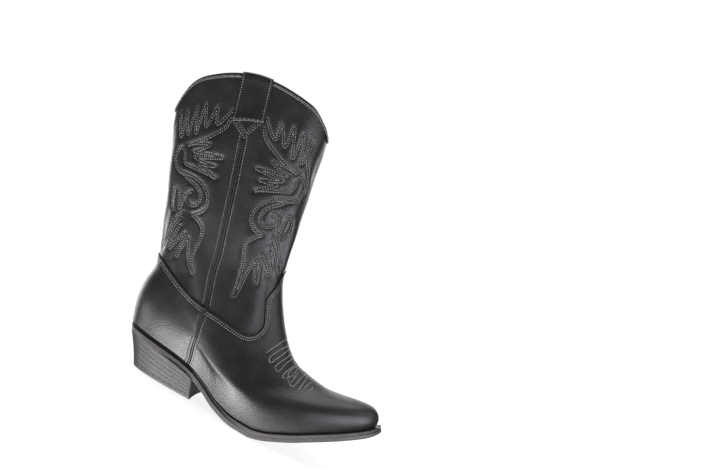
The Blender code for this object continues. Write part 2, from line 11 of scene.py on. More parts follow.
import bpy
import numpy as np
from mathutils import Matrix, Vector
from mathutils.kdtree import KDTree


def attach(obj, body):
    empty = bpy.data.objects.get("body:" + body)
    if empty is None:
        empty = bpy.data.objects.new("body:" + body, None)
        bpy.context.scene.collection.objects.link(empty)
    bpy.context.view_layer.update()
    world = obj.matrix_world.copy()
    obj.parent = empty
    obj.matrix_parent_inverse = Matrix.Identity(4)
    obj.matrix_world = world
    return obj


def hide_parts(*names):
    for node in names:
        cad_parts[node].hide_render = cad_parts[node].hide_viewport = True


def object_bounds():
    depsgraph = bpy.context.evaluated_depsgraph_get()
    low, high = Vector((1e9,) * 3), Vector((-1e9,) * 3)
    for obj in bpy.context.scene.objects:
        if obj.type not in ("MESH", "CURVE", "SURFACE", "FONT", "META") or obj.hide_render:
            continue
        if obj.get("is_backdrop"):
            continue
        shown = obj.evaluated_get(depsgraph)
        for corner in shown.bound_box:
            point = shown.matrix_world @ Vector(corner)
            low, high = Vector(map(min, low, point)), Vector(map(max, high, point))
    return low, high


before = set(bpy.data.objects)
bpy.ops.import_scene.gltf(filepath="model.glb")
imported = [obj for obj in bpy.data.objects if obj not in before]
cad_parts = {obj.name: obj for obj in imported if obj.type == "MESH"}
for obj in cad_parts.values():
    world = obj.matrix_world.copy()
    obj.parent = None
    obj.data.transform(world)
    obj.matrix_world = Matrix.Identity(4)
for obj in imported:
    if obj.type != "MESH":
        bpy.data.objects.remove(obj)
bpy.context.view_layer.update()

# ---- dimensions of the frame (mm)

MM = 0.001
CENTRE = (84.7, 0.2, 0.0)      # the frame's origin in side-view millimetres
GAP = 0.3                      # clearance between pieces that touch

BACK_LINE = [
    (0.00, -25.0, 40.5), (0.05, -28.6, 52.0), (0.10, -31.8, 63.5), (0.16, -33.4, 76.0),
    (0.22, -33.2, 88.0), (0.30, -31.4, 101.0), (0.36, -32.6, 110.0), (0.42, -37.6, 122.5),
    (0.60, -54.6, 166.0), (0.80, -75.0, 214.0), (1.00, -94.4, 262.5)]
FRONT_LINE = [
    (0.00, 256.5, 66.5), (0.02, 257.0, 73.0), (0.045, 253.2, 80.2), (0.075, 243.5, 83.4),
    (0.12, 221.0, 80.2), (0.17, 194.5, 76.3), (0.215, 171.0, 78.8), (0.25, 151.0, 83.8),
    (0.28, 137.0, 93.5), (0.32, 122.0, 110.0), (0.36, 107.0, 131.5), (0.40, 94.6, 154.0),
    (0.45, 92.0, 168.0), (0.60, 85.1, 206.5), (0.80, 75.1, 258.0), (1.00, 66.0, 310.5)]
SHIN_KNOT = 0.52               # an extra knot that holds the even curve above the throat
SCALLOP = [(0, 0.0), (7, 3.4), (25, 26.5), (45, 38.5), (90, 48.0), (135, 30.0), (155, 13.5),
           (172, 1.7), (180, 0.0)]
SEAM_SHARE = [(0.0, 0.268), (0.06, 0.279), (0.12, 0.313), (0.20, 0.374), (0.28, 0.441),
              (0.36, 0.490), (0.43, 0.505), (0.52, 0.492), (0.65, 0.475), (0.80, 0.453),
              (1.0, 0.430)]
HALF_WIDTHS = [
    (0.00, 43.0, 28.0, 45.0, 38.0), (0.06, 46.0, 32.5, 46.5, 37.5), (0.16, 44.5, 34.5, 43.5, 35.5),
    (0.28, 36.0, 32.5, 36.5, 31.0), (0.40, 30.0, 30.5, 30.5, 29.0), (0.55, 32.0, 32.5, 32.5, 31.5),
    (0.75, 36.0, 36.0, 36.0, 36.0), (1.00, 39.0, 39.0, 39.0, 39.0)]
WIDTH_STATIONS = [(0.0, 1, 0, 0, 0), (0.30, 0, 1, 0, 0), (0.62, 0, 0, 1, 0), (1.0, 0, 0, 0, 1)]
MEDIAL_WAIST_CUT = 4.0
TOE_SWING = 4.0
LOW_FADE = 6                   # how fast the two above fade up the boot
SOLE_LINE = [
    (-30.0, 31.8), (-10.0, 31.2), (10.0, 29.5), (30.0, 27.3), (46.0, 24.6), (60.0, 21.0),
    (78.0, 13.6), (92.0, 6.9), (104.0, 3.1), (113.0, 1.0), (121.0, 0.0), (128.0, -0.2),
    (137.0, -0.2), (143.0, 0.3), (152.0, 2.4), (160.0, 5.1), (170.0, 9.2), (184.0, 15.2),
    (198.0, 22.0), (224.0, 34.5), (245.0, 45.2), (257.0, 52.0), (268.0, 61.0)]
SOLE_MARGIN = [(0, 2.2, -2.6), (30, 2.4, 0.6), (60, 2.6, 2.4), (90, 2.6, 2.6), (110, 4.0, 3.6),
               (135, 5.6, 5.6), (165, 6.4, 7.6), (180, 7.6, 10.6)]
COVER_EDGE = [
    (0, 0.400), (26, 0.359), (43, 0.332), (55, 0.3155), (65, 0.306), (75, 0.307), (85, 0.318),
    (93, 0.323), (105, 0.321), (117, 0.3085), (123, 0.302), (128, 0.301), (133, 0.3065),
    (138, 0.3175), (141, 0.329), (142, 0.346), (142.6, 0.360), (143.6, 0.3685), (147, 0.376),
    (155, 0.3865), (165, 0.4015), (180, 0.445)]
COVER = (0.45, 1.95)           # layers of the upper, as offsets from the design surface
SHAFT = (-1.4, 0.0)
LINING = (-2.8, -1.85)
OUTSOLE = 4.9
WELT = 3.3
TOP_PIECE = 5.0
HEEL_LIFTS = 5
HEEL_HALF_WIDTH = 27.0
HEEL_SPREAD = 0.11
HEEL_INNER_CUT = 3.0
BREAST_OUTER_X = 69.5
BREAST_INNER_X = 73.5
BREAST_LEAN = 0.36
HEEL_BACK_X = -3.5
HEEL_BACK_LEAN = 0.50
HEEL_BACK_FLARE = 0.0037
HEEL_ROUNDNESS = 0.75
STRAP_HALF_WIDTH = 16.5
STRAP_LENGTH = 48.0
STRAP_SLANT = 3.6
STRAP_INSIDE_LENGTH = 38.0
PATCH_DEPTH = 17.0
PATCH_TIP_HALF_WIDTH = 1.2
SEAM_HALF_GAP = 1.1

# ---- the design surface


def even_slopes(knots, values, slopes):
    """Slopes at the inner knots that leave no jump in curvature there."""
    gaps = np.diff(knots)
    grades = np.diff(values, axis=0) / gaps[:, None]
    right = 3 * (gaps[1:, None] * grades[:-1] + gaps[:-1, None] * grades[1:])
    right[0] -= gaps[1] * slopes[0]
    right[-1] -= gaps[-2] * slopes[-1]
    left = np.diag(2 * (gaps[:-1] + gaps[1:])) + np.diag(gaps[2:], -1) + np.diag(gaps[:-2], 1)
    return np.linalg.solve(left, right)


def curve(table, even=False):
    """Smooth function through the rows (knot, value, ...) of a table, for arrays."""
    rows = np.array(table, float)
    knots = rows[:, 0]
    values = rows[:, 1:]
    order = np.arange(len(rows))
    low = np.maximum(order - 1, 0)
    high = np.minimum(order + 1, len(rows) - 1)
    slopes = (values[high] - values[low]) / (knots[high] - knots[low])[:, None]
    if even:
        slopes[1:-1] = even_slopes(knots, values, slopes)

    def value_at(knot):
        knot = np.clip(knot, knots[0], knots[-1])
        i = np.clip(np.searchsorted(knots, knot, "right") - 1, 0, len(knots) - 2)
        span = (knots[i + 1] - knots[i])[..., None]
        f = (knot - knots[i])[..., None] / span
        rise = f * f * (3 - 2 * f)
        found = values[i] * (1 - rise) + values[i + 1] * rise
        found = found + slopes[i] * f * (1 - f) ** 2 * span - slopes[i + 1] * f * f * (1 - f) * span
        return found[..., 0] if values.shape[1] == 1 else found

    return value_at


def with_knot(table, knot):
    """The table with one more row, taken from its own plain curve."""
    return sorted(table + [(knot, *curve(table)(knot))])


back_line = curve(BACK_LINE, even=True)
front_line = curve(with_knot(FRONT_LINE, SHIN_KNOT), even=True)
scallop = curve(SCALLOP)
seam_share = curve(SEAM_SHARE, even=True)
half_widths = curve(HALF_WIDTHS, even=True)
station_weights = curve(WIDTH_STATIONS)
sole_line = curve(SOLE_LINE)
sole_margins = curve(SOLE_MARGIN)


def sole_height(x):
    """Height of the outsole's underside."""
    return np.maximum(sole_line(x), 0.0)


def feather_height(x):
    """Height at which the upper's bottom edge rests on the welt and the rand."""
    return sole_height(x) + OUTSOLE + WELT + 2 * GAP


def fold(theta):
    """Theta measured from the back on either side, 0 to 180."""
    theta = np.mod(theta, 360.0)
    return np.minimum(theta, 360.0 - theta)


def surface(theta, v):
    """Points of the design surface; theta and v are arrays or numbers."""
    theta, v = np.broadcast_arrays(np.asarray(theta, float), np.asarray(v, float))
    turn = np.radians(theta)
    share = seam_share(v)
    pull = share / (1 - share)
    s = np.sin(turn / 2) ** 2
    stretch = 1 + (pull - 1) * s
    t = pull * s / stretch
    spread = np.sqrt(pull) * np.sin(turn) / stretch
    side = back_line(v) * (1 - t)[..., None] + front_line(v) * t[..., None]
    heel = back_line(np.zeros(()))
    toe = front_line(np.zeros(()))
    chord = heel + (toe - heel) * t[..., None]
    sag = feather_height(chord[..., 0]) - chord[..., 1]
    z = side[..., 1] + sag * (1 - v) ** 2 + scallop(fold(theta)) * v * v
    widths = half_widths(v).copy()
    widths[..., 1] -= (np.mod(theta, 360.0) > 180.0) * MEDIAL_WAIST_CUT * (1 - v) ** LOW_FADE
    half = (station_weights(t) * widths).sum(-1)
    swing = TOE_SWING * np.maximum(0.0, (t - 0.5) / 0.5) ** 2 * (1 - v) ** LOW_FADE
    return np.stack([side[..., 0], swing - half * spread, z], -1)


def unit(vectors):
    return vectors / np.linalg.norm(vectors, axis=-1, keepdims=True)


def normal(theta, v):
    """Outward unit normals of the design surface."""
    step = 0.4
    rise = 0.004
    along = surface(theta + step, v) - surface(theta - step, v)
    up = surface(theta, np.minimum(v + rise, 1.0)) - surface(theta, np.maximum(v - rise, 0.0))
    return unit(np.cross(along, up))


def offset(theta, v, distance):
    """Points of the design surface moved out along its normals."""
    return surface(theta, v) + normal(theta, v) * np.asarray(distance, float)[..., None]


def upward(theta):
    """Unit vectors that continue the surface upward past the topline."""
    return unit(surface(theta, 1.0) - surface(theta, 0.98))


def rise_scale(theta, v):
    """Length of one unit of v."""
    low = np.minimum(v, 0.99)
    return np.linalg.norm(surface(theta, low + 0.01) - surface(theta, low), axis=-1) / 0.01


def turn_scale(theta, v):
    """Length of one degree of theta."""
    return np.linalg.norm(surface(theta + 0.5, v) - surface(theta - 0.5, v), axis=-1)


def tangents(theta, v, turn, rise):
    """Points of the surface with their rates of change along theta and along v."""
    here = surface(theta, v)
    return here, (surface(theta + turn, v) - here) / turn, (surface(theta, v + rise) - here) / rise


def find_on_surface(points):
    """Theta and v on the outer side for side-view points (x, z), each near the one before."""
    theta, v = 150.0, 0.25
    found = []
    for point in points:
        for _ in range(40):
            here, along, up = (p[[0, 2]] for p in tangents(theta, v, 0.05, 0.0005))
            turn, rise = np.linalg.solve(np.stack([along, up], 1), point - here)
            theta = np.clip(theta + np.clip(turn, -8.0, 8.0), 0.5, 179.5)
            v = np.clip(v + np.clip(rise, -0.05, 0.05), 0.0, 0.999)
        found.append((theta, v))
    return np.array(found)


def settle(points, theta, v):
    """Theta and v of the surface's nearest places to points, starting from guesses."""
    for _ in range(4):
        here, a, b = tangents(theta, v, 0.1, 0.001)
        d = points - here
        aa, ab, bb = (a * a).sum(-1), (a * b).sum(-1), (b * b).sum(-1)
        da, db = (d * a).sum(-1), (d * b).sum(-1)
        det = aa * bb - ab * ab
        theta = theta + (da * bb - db * ab) / det
        v = np.clip(v + (db * aa - da * ab) / det, 0.0, 0.998)
    return theta, v


cover_edge = curve(COVER_EDGE)


class Chart:
    """Distances in mm round the boot at constant v, from one side seam to the other."""

    def __init__(self, first, last):
        self.ends = (first, last)
        self.levels = np.linspace(0, 1, 161)
        angles = np.linspace(first, last, 721)
        points = surface(angles[None], self.levels[:, None])
        arcs = running_length(points)
        self.totals = arcs[:, -1]
        self.shares = np.linspace(0, 1, len(angles))
        self.table = np.array([np.interp(self.shares, row / row[-1], angles) for row in arcs])

    def along(self, share, edge):
        """Angles at shares of the length of the line edge(theta)."""
        angles = np.linspace(*self.ends, 2881)
        length = running_length(surface(angles, edge(angles)))
        return np.interp(share, length / length[-1], angles)

    def total(self, v):
        return np.interp(v, self.levels, self.totals)

    def theta(self, along, v):
        """Angle at a distance from the first seam."""
        share = np.clip(along / self.total(v), 0, 1) * (len(self.shares) - 1)
        level = np.clip(v, 0, 1) * (len(self.levels) - 1)
        i = np.minimum(level.astype(int), len(self.levels) - 2)
        j = np.minimum(share.astype(int), len(self.shares) - 2)
        fi = level - i
        fj = share - j
        low = self.table[i, j] * (1 - fj) + self.table[i, j + 1] * fj
        high = self.table[i + 1, j] * (1 - fj) + self.table[i + 1, j + 1] * fj
        return low * (1 - fi) + high * fi


def running_length(points):
    """Distance along the last line of points, starting at 0, for (..., n, 3) arrays."""
    steps = np.linalg.norm(np.diff(points, axis=-2), axis=-1)
    return np.concatenate([np.zeros(steps.shape[:-1] + (1,)), np.cumsum(steps, axis=-1)], axis=-1)


FRONT = Chart(90.0, 270.0)
BACK = Chart(-90.0, 90.0)


def place(points):
    """Side-view millimetres to the frame's metres."""
    return (np.asarray(points) - CENTRE) * MM


# ---- mesh tools

COARSE = 4                     # a sheet's hidden face has one row and column for this many
BORDER = (0.0, 0.1, 0.28, 0.55, 0.9)   # distances of the lines along a rolled edge from that edge
BORDER_BLEND = 0.12            # share of a grid over which that closeness fades out
RIM = 0.1                      # what is left of a sheet's thickness at its rolled edge


def add_piece(name, vertices, faces, finish, replaced=(), marks=None):
    """A mesh in millimetres becomes a piece that rides with the boot."""
    mesh = bpy.data.meshes.new(name)
    mesh.from_pydata(place(vertices).tolist(), [], faces)
    mesh.shade_smooth()
    mesh.materials.append(finish)
    for mark, values in (marks or {}).items():
        layer = mesh.attributes.new(mark, "FLOAT", "POINT")
        layer.data.foreach_set("value", np.asarray(values, np.float32))
    piece = bpy.data.objects.new(name, mesh)
    bpy.context.scene.collection.objects.link(piece)
    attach(piece, "root")
    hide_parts(*replaced)


def grid_faces(rows, columns, start=0):
    """Quads of a grid, row by row."""
    first = start + np.arange(rows - 1)[:, None] * columns + np.arange(columns - 1)[None]
    cells = np.stack([first, first + 1, first + columns + 1, first + columns], -1)
    return cells.reshape(-1, 4)


def border_loop(rows, columns, start=0):
    """Vertex numbers round a grid's border, in the order of its faces' outer edges."""
    bottom = np.arange(columns - 1)
    right = np.arange(rows - 1) * columns + columns - 1
    top = (rows - 1) * columns + np.arange(columns - 1, 0, -1)
    left = np.arange(rows - 1, 0, -1) * columns
    return start + np.concatenate([bottom, right, top, left])


def edge_distance(points):
    """Distance of each point of a grid from the grid's nearest edge, along its lines."""
    across = running_length(points)
    along = running_length(points.transpose(1, 0, 2)).T
    return np.minimum(np.minimum(across, across[:, -1:] - across),
                      np.minimum(along, along[-1:] - along))


def grid_normals(points):
    return unit(np.cross(np.gradient(points, axis=1), np.gradient(points, axis=0)))


def sheet(name, face, thickness, finish, replaced=(), relief=0.0, roll=0.9, marks=None):
    """Closed sheet: a fine outer face whose edges roll down to a coarse inner face."""
    out = grid_normals(face)
    edge = np.clip(1 - edge_distance(face) / roll, 0, 1)
    fall = (thickness - RIM) * (1 - np.sqrt(1 - edge ** 2))
    outer = face + out * (relief - fall)[..., None]
    inner = (face - out * thickness)[::COARSE, ::COARSE]
    rows, columns = face.shape[:2]
    start = rows * columns
    outer_loop = border_loop(rows, columns)
    inner_loop = border_loop(inner.shape[0], inner.shape[1], start)
    faces = grid_faces(rows, columns).tolist()
    faces += grid_faces(inner.shape[0], inner.shape[1], start)[:, ::-1].tolist()
    for k in range(len(inner_loop)):
        span = [outer_loop[(COARSE * k + j) % len(outer_loop)] for j in range(COARSE, -1, -1)]
        faces.append([int(i) for i in span + [inner_loop[k], inner_loop[(k + 1) % len(inner_loop)]]])
    vertices = np.concatenate([outer.reshape(-1, 3), inner.reshape(-1, 3)])
    hidden = np.zeros(inner.shape[0] * inner.shape[1])
    values = {"edge": np.concatenate([edge.ravel(), hidden])}
    for mark, grid in (marks or {}).items():
        values[mark] = np.concatenate([np.broadcast_to(grid, (rows, columns)).ravel(), hidden])
    return add_piece(name, vertices, faces, finish, replaced, values)


def grid_lines(count, inset_low=0.0, inset_high=0.0):
    """Shares and distances that place a grid's lines between two edges, close at the edges."""
    border = np.array(BORDER)
    inner = np.linspace(0, 1, count - 2 * len(border) + 2)[1:-1]
    low = inset_low + border
    high = -(inset_high + border[::-1])
    share = np.concatenate([np.zeros(len(border)), inner, np.ones(len(border))])
    near = (low[-1] * np.clip(1 - inner / BORDER_BLEND, 0, 1)
            + high[0] * np.clip(1 - (1 - inner) / BORDER_BLEND, 0, 1))
    return share, np.concatenate([low, near, high])


def panel_lines(chart, low, high, rows, columns, inset=SEAM_HALF_GAP, trim=(0.0, 0.0)):
    """Theta and v grids of a panel between two seams and the lines low(theta), high(theta)."""
    column_share, column_mm = grid_lines(columns, inset, inset)
    row_share, row_mm = grid_lines(rows, *trim)
    foot = chart.along(column_share, low)
    head = chart.along(column_share, high)
    rough = np.linspace(0, 1, 41)[:, None]
    line = surface(foot + (head - foot) * rough, low(foot) + (high(head) - low(foot)) * rough)
    length = running_length(line.transpose(1, 0, 2))[:, -1]
    up = np.clip(row_share[:, None] + row_mm[:, None] / length, 0, 1)
    theta = foot + (head - foot) * up
    v = low(foot) + (high(head) - low(foot)) * up
    return theta + column_mm / turn_scale(theta, v), v


def band_faces(count, points):
    """Quads between matching closed loops of points, loop by loop."""
    first = np.arange(count - 1)[:, None] * points + np.arange(points)
    after = (np.arange(points) + 1) % points - np.arange(points)
    cells = np.stack([first, first + after, first + after + points, first + points], -1)
    return cells.reshape(-1, 4)


def rings(name, loops, finish, replaced=()):
    """Closed solid through matching closed loops of points (loops, points, 3)."""
    count, points = loops.shape[:2]
    faces = band_faces(count, points).tolist()
    faces.append(list(range(points))[::-1])
    faces.append([(count - 1) * points + i for i in range(points)])
    add_piece(name, loops.reshape(-1, 3), faces, finish, replaced)


# ---- stitching

PITCH = 2.6                    # from stitch to stitch
STITCH = 1.35                  # length of a stitch's visible thread
THREAD = 0.40                  # radius of the thread
RIB = 0.35                     # how far the leather puckers between the stitches of a double row
ROW_HALF_GAP = 1.2             # from the middle of a double row to each of its rows
STITCH_ALONG = np.array([-0.5, -0.38, 0.0, 0.38, 0.5]) * STITCH
STITCH_LIFT = np.array([-0.32, 0.04, 0.24, 0.04, -0.32])
STITCH_SWELL = np.array([0.55, 0.95, 1.0, 0.95, 0.55])
THREAD_SIDES = 6
ROW_END = 0.6                  # length of a row that stays free of stitches
RIB_MIDDLE = 0.55              # how far a double row's welt fills the draw between the ribs
SINGLE_REACH = 0.8             # how quickly the leather rises again beside a single row
CLEAR_SHARE = 0.93             # a moved line keeps the points that lie this share of its distance off


def smooth_path(points, step=0.5):
    """Evenly spaced points on a smooth curve through given points, in the plane."""
    points = np.array(points, float)
    ends = np.array([2 * points[0] - points[1], 2 * points[-1] - points[-2]])
    p = np.concatenate([ends[:1], points, ends[1:]])
    knots = np.concatenate([[0], np.cumsum(np.sqrt(np.linalg.norm(np.diff(p, axis=0), axis=1)))])
    fine = []
    for i in range(1, len(p) - 2):
        u = np.linspace(knots[i], knots[i + 1], 16, endpoint=False)[:, None]
        k = knots[i - 1:i + 3]
        a = [((k[j + 1] - u) * p[i - 1 + j] + (u - k[j]) * p[i + j]) / (k[j + 1] - k[j])
             for j in range(3)]
        b = [((k[j + 2] - u) * a[j] + (u - k[j]) * a[j + 1]) / (k[j + 2] - k[j]) for j in range(2)]
        fine.append(((k[2] - u) * b[0] + (u - k[1]) * b[1]) / (k[2] - k[1]))
    fine = np.concatenate(fine + [p[-2:-1]])
    return evenly(fine, step)


def evenly(points, step):
    """The same line with evenly spaced points."""
    length = running_length(points)
    at = np.linspace(0, length[-1], max(int(length[-1] / step), 2) + 1)
    return np.stack([np.interp(at, length, points[:, i]) for i in range(points.shape[1])], -1)


def beside(theta, v, distance, step=0.5):
    """A line on the surface moved sideways, evenly spaced, without loops at its tight bends."""
    points = surface(theta, v)
    side = unit(np.cross(normal(theta, v), np.gradient(points, axis=0)))
    theta, v = settle(points + side * distance, theta, v)
    moved = surface(theta, v)
    gap, _ = nearest(moved, points, theta)
    kept = gap > abs(distance) * CLEAR_SHARE
    length = running_length(moved[kept])
    at = np.linspace(0, length[-1], int(length[-1] / step) + 2)
    return np.interp(at, length, theta[kept]), np.interp(at, length, v[kept])


def height_near(points, middles, singles, depth, reach):
    """Relief of leather drawn in along stitching: grooves at the rows, a ribbed welt between."""
    gap, along = nearest(points, *on_leather(middles))
    d = gap / ROW_HALF_GAP
    beyond = -depth * np.exp(-np.maximum(d - 1, 0) * ROW_HALF_GAP / reach)
    rib = RIB_MIDDLE + RIB * np.cos(along * 2 * math.pi / PITCH)
    relief = np.where(d < 1, -depth * (1 - rib * np.clip(1 - d * d, 0, 1)), beyond)
    gap, _ = nearest(points, *on_leather(singles))
    return relief - SINGLE_DEPTH * np.exp(-gap / SINGLE_REACH)


def nearest(points, samples, along):
    """Distance of each point to the nearest sample, and that sample's place along its line."""
    tree = KDTree(len(samples))
    for i, sample in enumerate(samples):
        tree.insert(sample, i)
    tree.balance()
    found = [tree.find(p)[1:] for p in points.reshape(-1, 3)]
    gap = np.array([distance for _, distance in found]).reshape(points.shape[:-1])
    return gap, along[[i for i, _ in found]].reshape(points.shape[:-1])


def on_leather(lines):
    """3-D sample points of lines (theta, v), and how far along its line each one lies."""
    samples = [surface(theta, v) for theta, v in lines]
    return np.concatenate(samples), np.concatenate([running_length(line) for line in samples])


def thread_mesh(centres, outs):
    """Vertices and faces of stitches from (n, 5, 3) centres and outward directions."""
    ahead = unit(np.gradient(centres, axis=1))
    side = unit(np.cross(outs, ahead))
    out = np.cross(ahead, side)
    angles = np.arange(THREAD_SIDES) * 2 * math.pi / THREAD_SIDES
    radius = (THREAD * STITCH_SWELL)[None, :, None, None]
    ring = (side[:, :, None] * np.cos(angles)[None, None, :, None]
            + out[:, :, None] * np.sin(angles)[None, None, :, None])
    vertices = centres[:, :, None] + ring * radius
    per = centres.shape[1] * THREAD_SIDES
    sides = band_faces(centres.shape[1], THREAD_SIDES)[:, [1, 0, 3, 2]]
    starts = np.arange(len(centres))[:, None, None] * per
    quads = (starts + sides[None]).reshape(-1, 4).tolist()
    caps = np.array([list(range(THREAD_SIDES)), list(range(per - 1, per - 1 - THREAD_SIDES, -1))])
    return vertices.reshape(-1, 3), quads + (starts + caps[None]).reshape(-1, THREAD_SIDES).tolist()


class Thread:
    """Collects stitch rows and makes one piece of them."""

    def __init__(self):
        self.centres = []
        self.outs = []

    def row(self, points, outs, pitch=PITCH):
        """Stitches along one row of surface points with their outward directions."""
        length = running_length(points)
        count = int((length[-1] - ROW_END) / pitch)
        if count < 1:
            return
        middle = (np.arange(count) + 0.5) * (length[-1] / count)
        at = middle[:, None] + STITCH_ALONG[None]
        centre = np.stack([np.interp(at, length, points[:, i]) for i in range(3)], -1)
        out = unit(np.stack([np.interp(at, length, outs[:, i]) for i in range(3)], -1))
        self.centres.append(centre + out * STITCH_LIFT[None, :, None])
        self.outs.append(out)

    def piece(self, name, finish, slot):
        vertices, faces = thread_mesh(np.concatenate(self.centres), np.concatenate(self.outs))
        return add_piece(name, vertices, faces, finish)


# Quilting of one quarter of the shaft, in mm from the side seam and down from the topline
FLAMES = [(19, 28), (32, 39), (36, 26), (44, 41), (50, 23), (55, 46), (62, 24), (67, 45), (76, 23)]
FRONT_FLAME_END = [(73.5, 36), (77, 43), (81, 49), (85, 56), (80, 65)]
BACK_FLAME_END = [(77, 44), (88, 22)]
BLADE = [(18.5, 35), (21, 40), (26, 44), (32, 47), (39, 50), (49, 53), (64, 55)]
FEATHER = [(64, 55), (50, 54.5), (34.5, 55.5), (43, 59), (53, 61), (36, 63), (18.5, 64.5), (34, 66),
           (50, 66), (38, 69.5), (24.5, 72), (34, 72), (44, 71), (33, 76), (21.5, 81)]
FEATHER_STEM = [(21.5, 81), (31, 78.5), (41, 76.5), (51, 74), (60, 71.5), (64, 66), (66, 60),
                (70, 55.5), (77, 55), (80, 60), (77, 66), (71, 74), (62, 78), (53, 80.5),
                (43, 83.5), (35, 87), (28.5, 92), (25, 98), (24.5, 103.5), (28, 108.5),
                (33, 111.5), (39, 113.5)]
SPIRAL = [(69, 76), (60, 80), (52, 85), (44, 88.5), (38, 92), (34, 97), (34, 102), (38, 105.5),
          (45, 105.5), (50.5, 102), (50.5, 97), (46, 94.5)]
LEAF = [(53, 98), (57, 110), (61, 96), (65, 91), (70, 91), (71, 99), (68, 107), (62, 112)]
LOWER_FLAME = [(39, 113.5), (32, 116.5), (26, 120.5), (24, 125), (25, 133), (27, 142), (28, 150),
               (26, 158), (31, 153), (34, 146), (36, 139), (38, 133), (42, 142), (47, 152),
               (45, 141), (43.5, 130), (50, 137), (58, 147), (57, 137), (51.5, 125)]
LOWER_LEAF = [(52, 113), (57, 117), (62, 126), (66, 133), (70, 144), (66, 138), (61, 130),
              (56, 122), (52.5, 118)]
QUILTING = [BLADE, FEATHER, FEATHER_STEM, SPIRAL, LEAF, LOWER_FLAME, LOWER_LEAF]
TOPLINE_SCALE = 250.0          # mm down the shaft for one unit of v in the quilting's measure

# Wrinkle stitching across the instep, outer side, in the side view (x, z)
WRINKLES = [
    [(128.2, 100.8), (125.7, 97.1), (123.2, 92.8), (119.9, 86.9), (116.8, 80.8)],
    [(133.4, 95.4), (127.6, 88.6), (122.6, 78.7), (122.8, 75.4), (126.5, 73.6), (127.4, 75.7),
     (131.4, 83.8), (135.6, 92.0)],
    [(140.3, 89.0), (136.1, 80.9), (132.4, 73.3), (132.6, 70.6), (137.1, 69.0), (138.1, 70.8),
     (140.4, 78.8), (144.6, 86.0)],
    [(150.2, 81.0), (146.1, 74.7), (143.5, 67.9), (144.2, 66.1), (148.6, 67.3), (151.9, 70.4),
     (153.5, 74.4), (153.7, 77.7)],
    [(155.0, 81.0), (150.9, 78.2), (148.2, 75.4), (147.4, 72.1), (148.7, 68.7), (151.1, 65.3),
     (154.7, 63.2), (158.3, 62.8), (159.3, 65.1), (161.4, 71.9), (165.0, 76.6)],
    [(154.3, 64.8), (155.3, 70.0), (155.9, 74.8)],
    [(164.6, 62.5), (166.1, 67.8), (167.0, 72.2), (167.6, 75.0)],
    [(173.8, 72.3), (171.4, 69.4), (169.9, 64.8), (173.4, 64.6), (177.0, 67.3), (176.8, 70.0)]]


def quilt_middles(chart, flame_end):
    """Middle lines (theta, v) of the quilting's double rows on one panel, both quarters."""
    middles = []
    for points in [FLAMES + flame_end] + QUILTING:
        path = smooth_path(points)
        v = 1 - path[:, 1] / TOPLINE_SCALE
        middles.append((chart.theta(path[:, 0], v), v))
        middles.append((chart.theta(chart.total(v) - path[:, 0], v), v))
    return middles


def double(middles):
    """The two rows on either side of each middle line."""
    return [beside(theta, v, way * ROW_HALF_GAP) for theta, v in middles for way in (1, -1)]


def seam_lines(chart, distance, low, high):
    """Lines at a distance from both side seams, between two heights."""
    v = np.linspace(low, high, 400)
    first, last = (np.full(400, end) for end in chart.ends)
    return [beside(first, v, -distance), beside(last, v, distance)]


def edge_line(chart, distance):
    """Line at a distance below the cover's upper edge."""
    theta = chart.along(np.linspace(0, 1, 1200)[8:-8], cover_top)
    return beside(theta, cover_top(theta), -distance)


def stitch_rows(thread, rows, distance, folds=None, pitch=PITCH):
    """Stitches along rows (theta, v) at a distance from the surface and its folds."""
    for theta, v in rows:
        rise = distance + (folds(theta, v) if folds else 0 * v)
        thread.row(offset(theta, v, rise), normal(theta, v), pitch)


# ---- materials


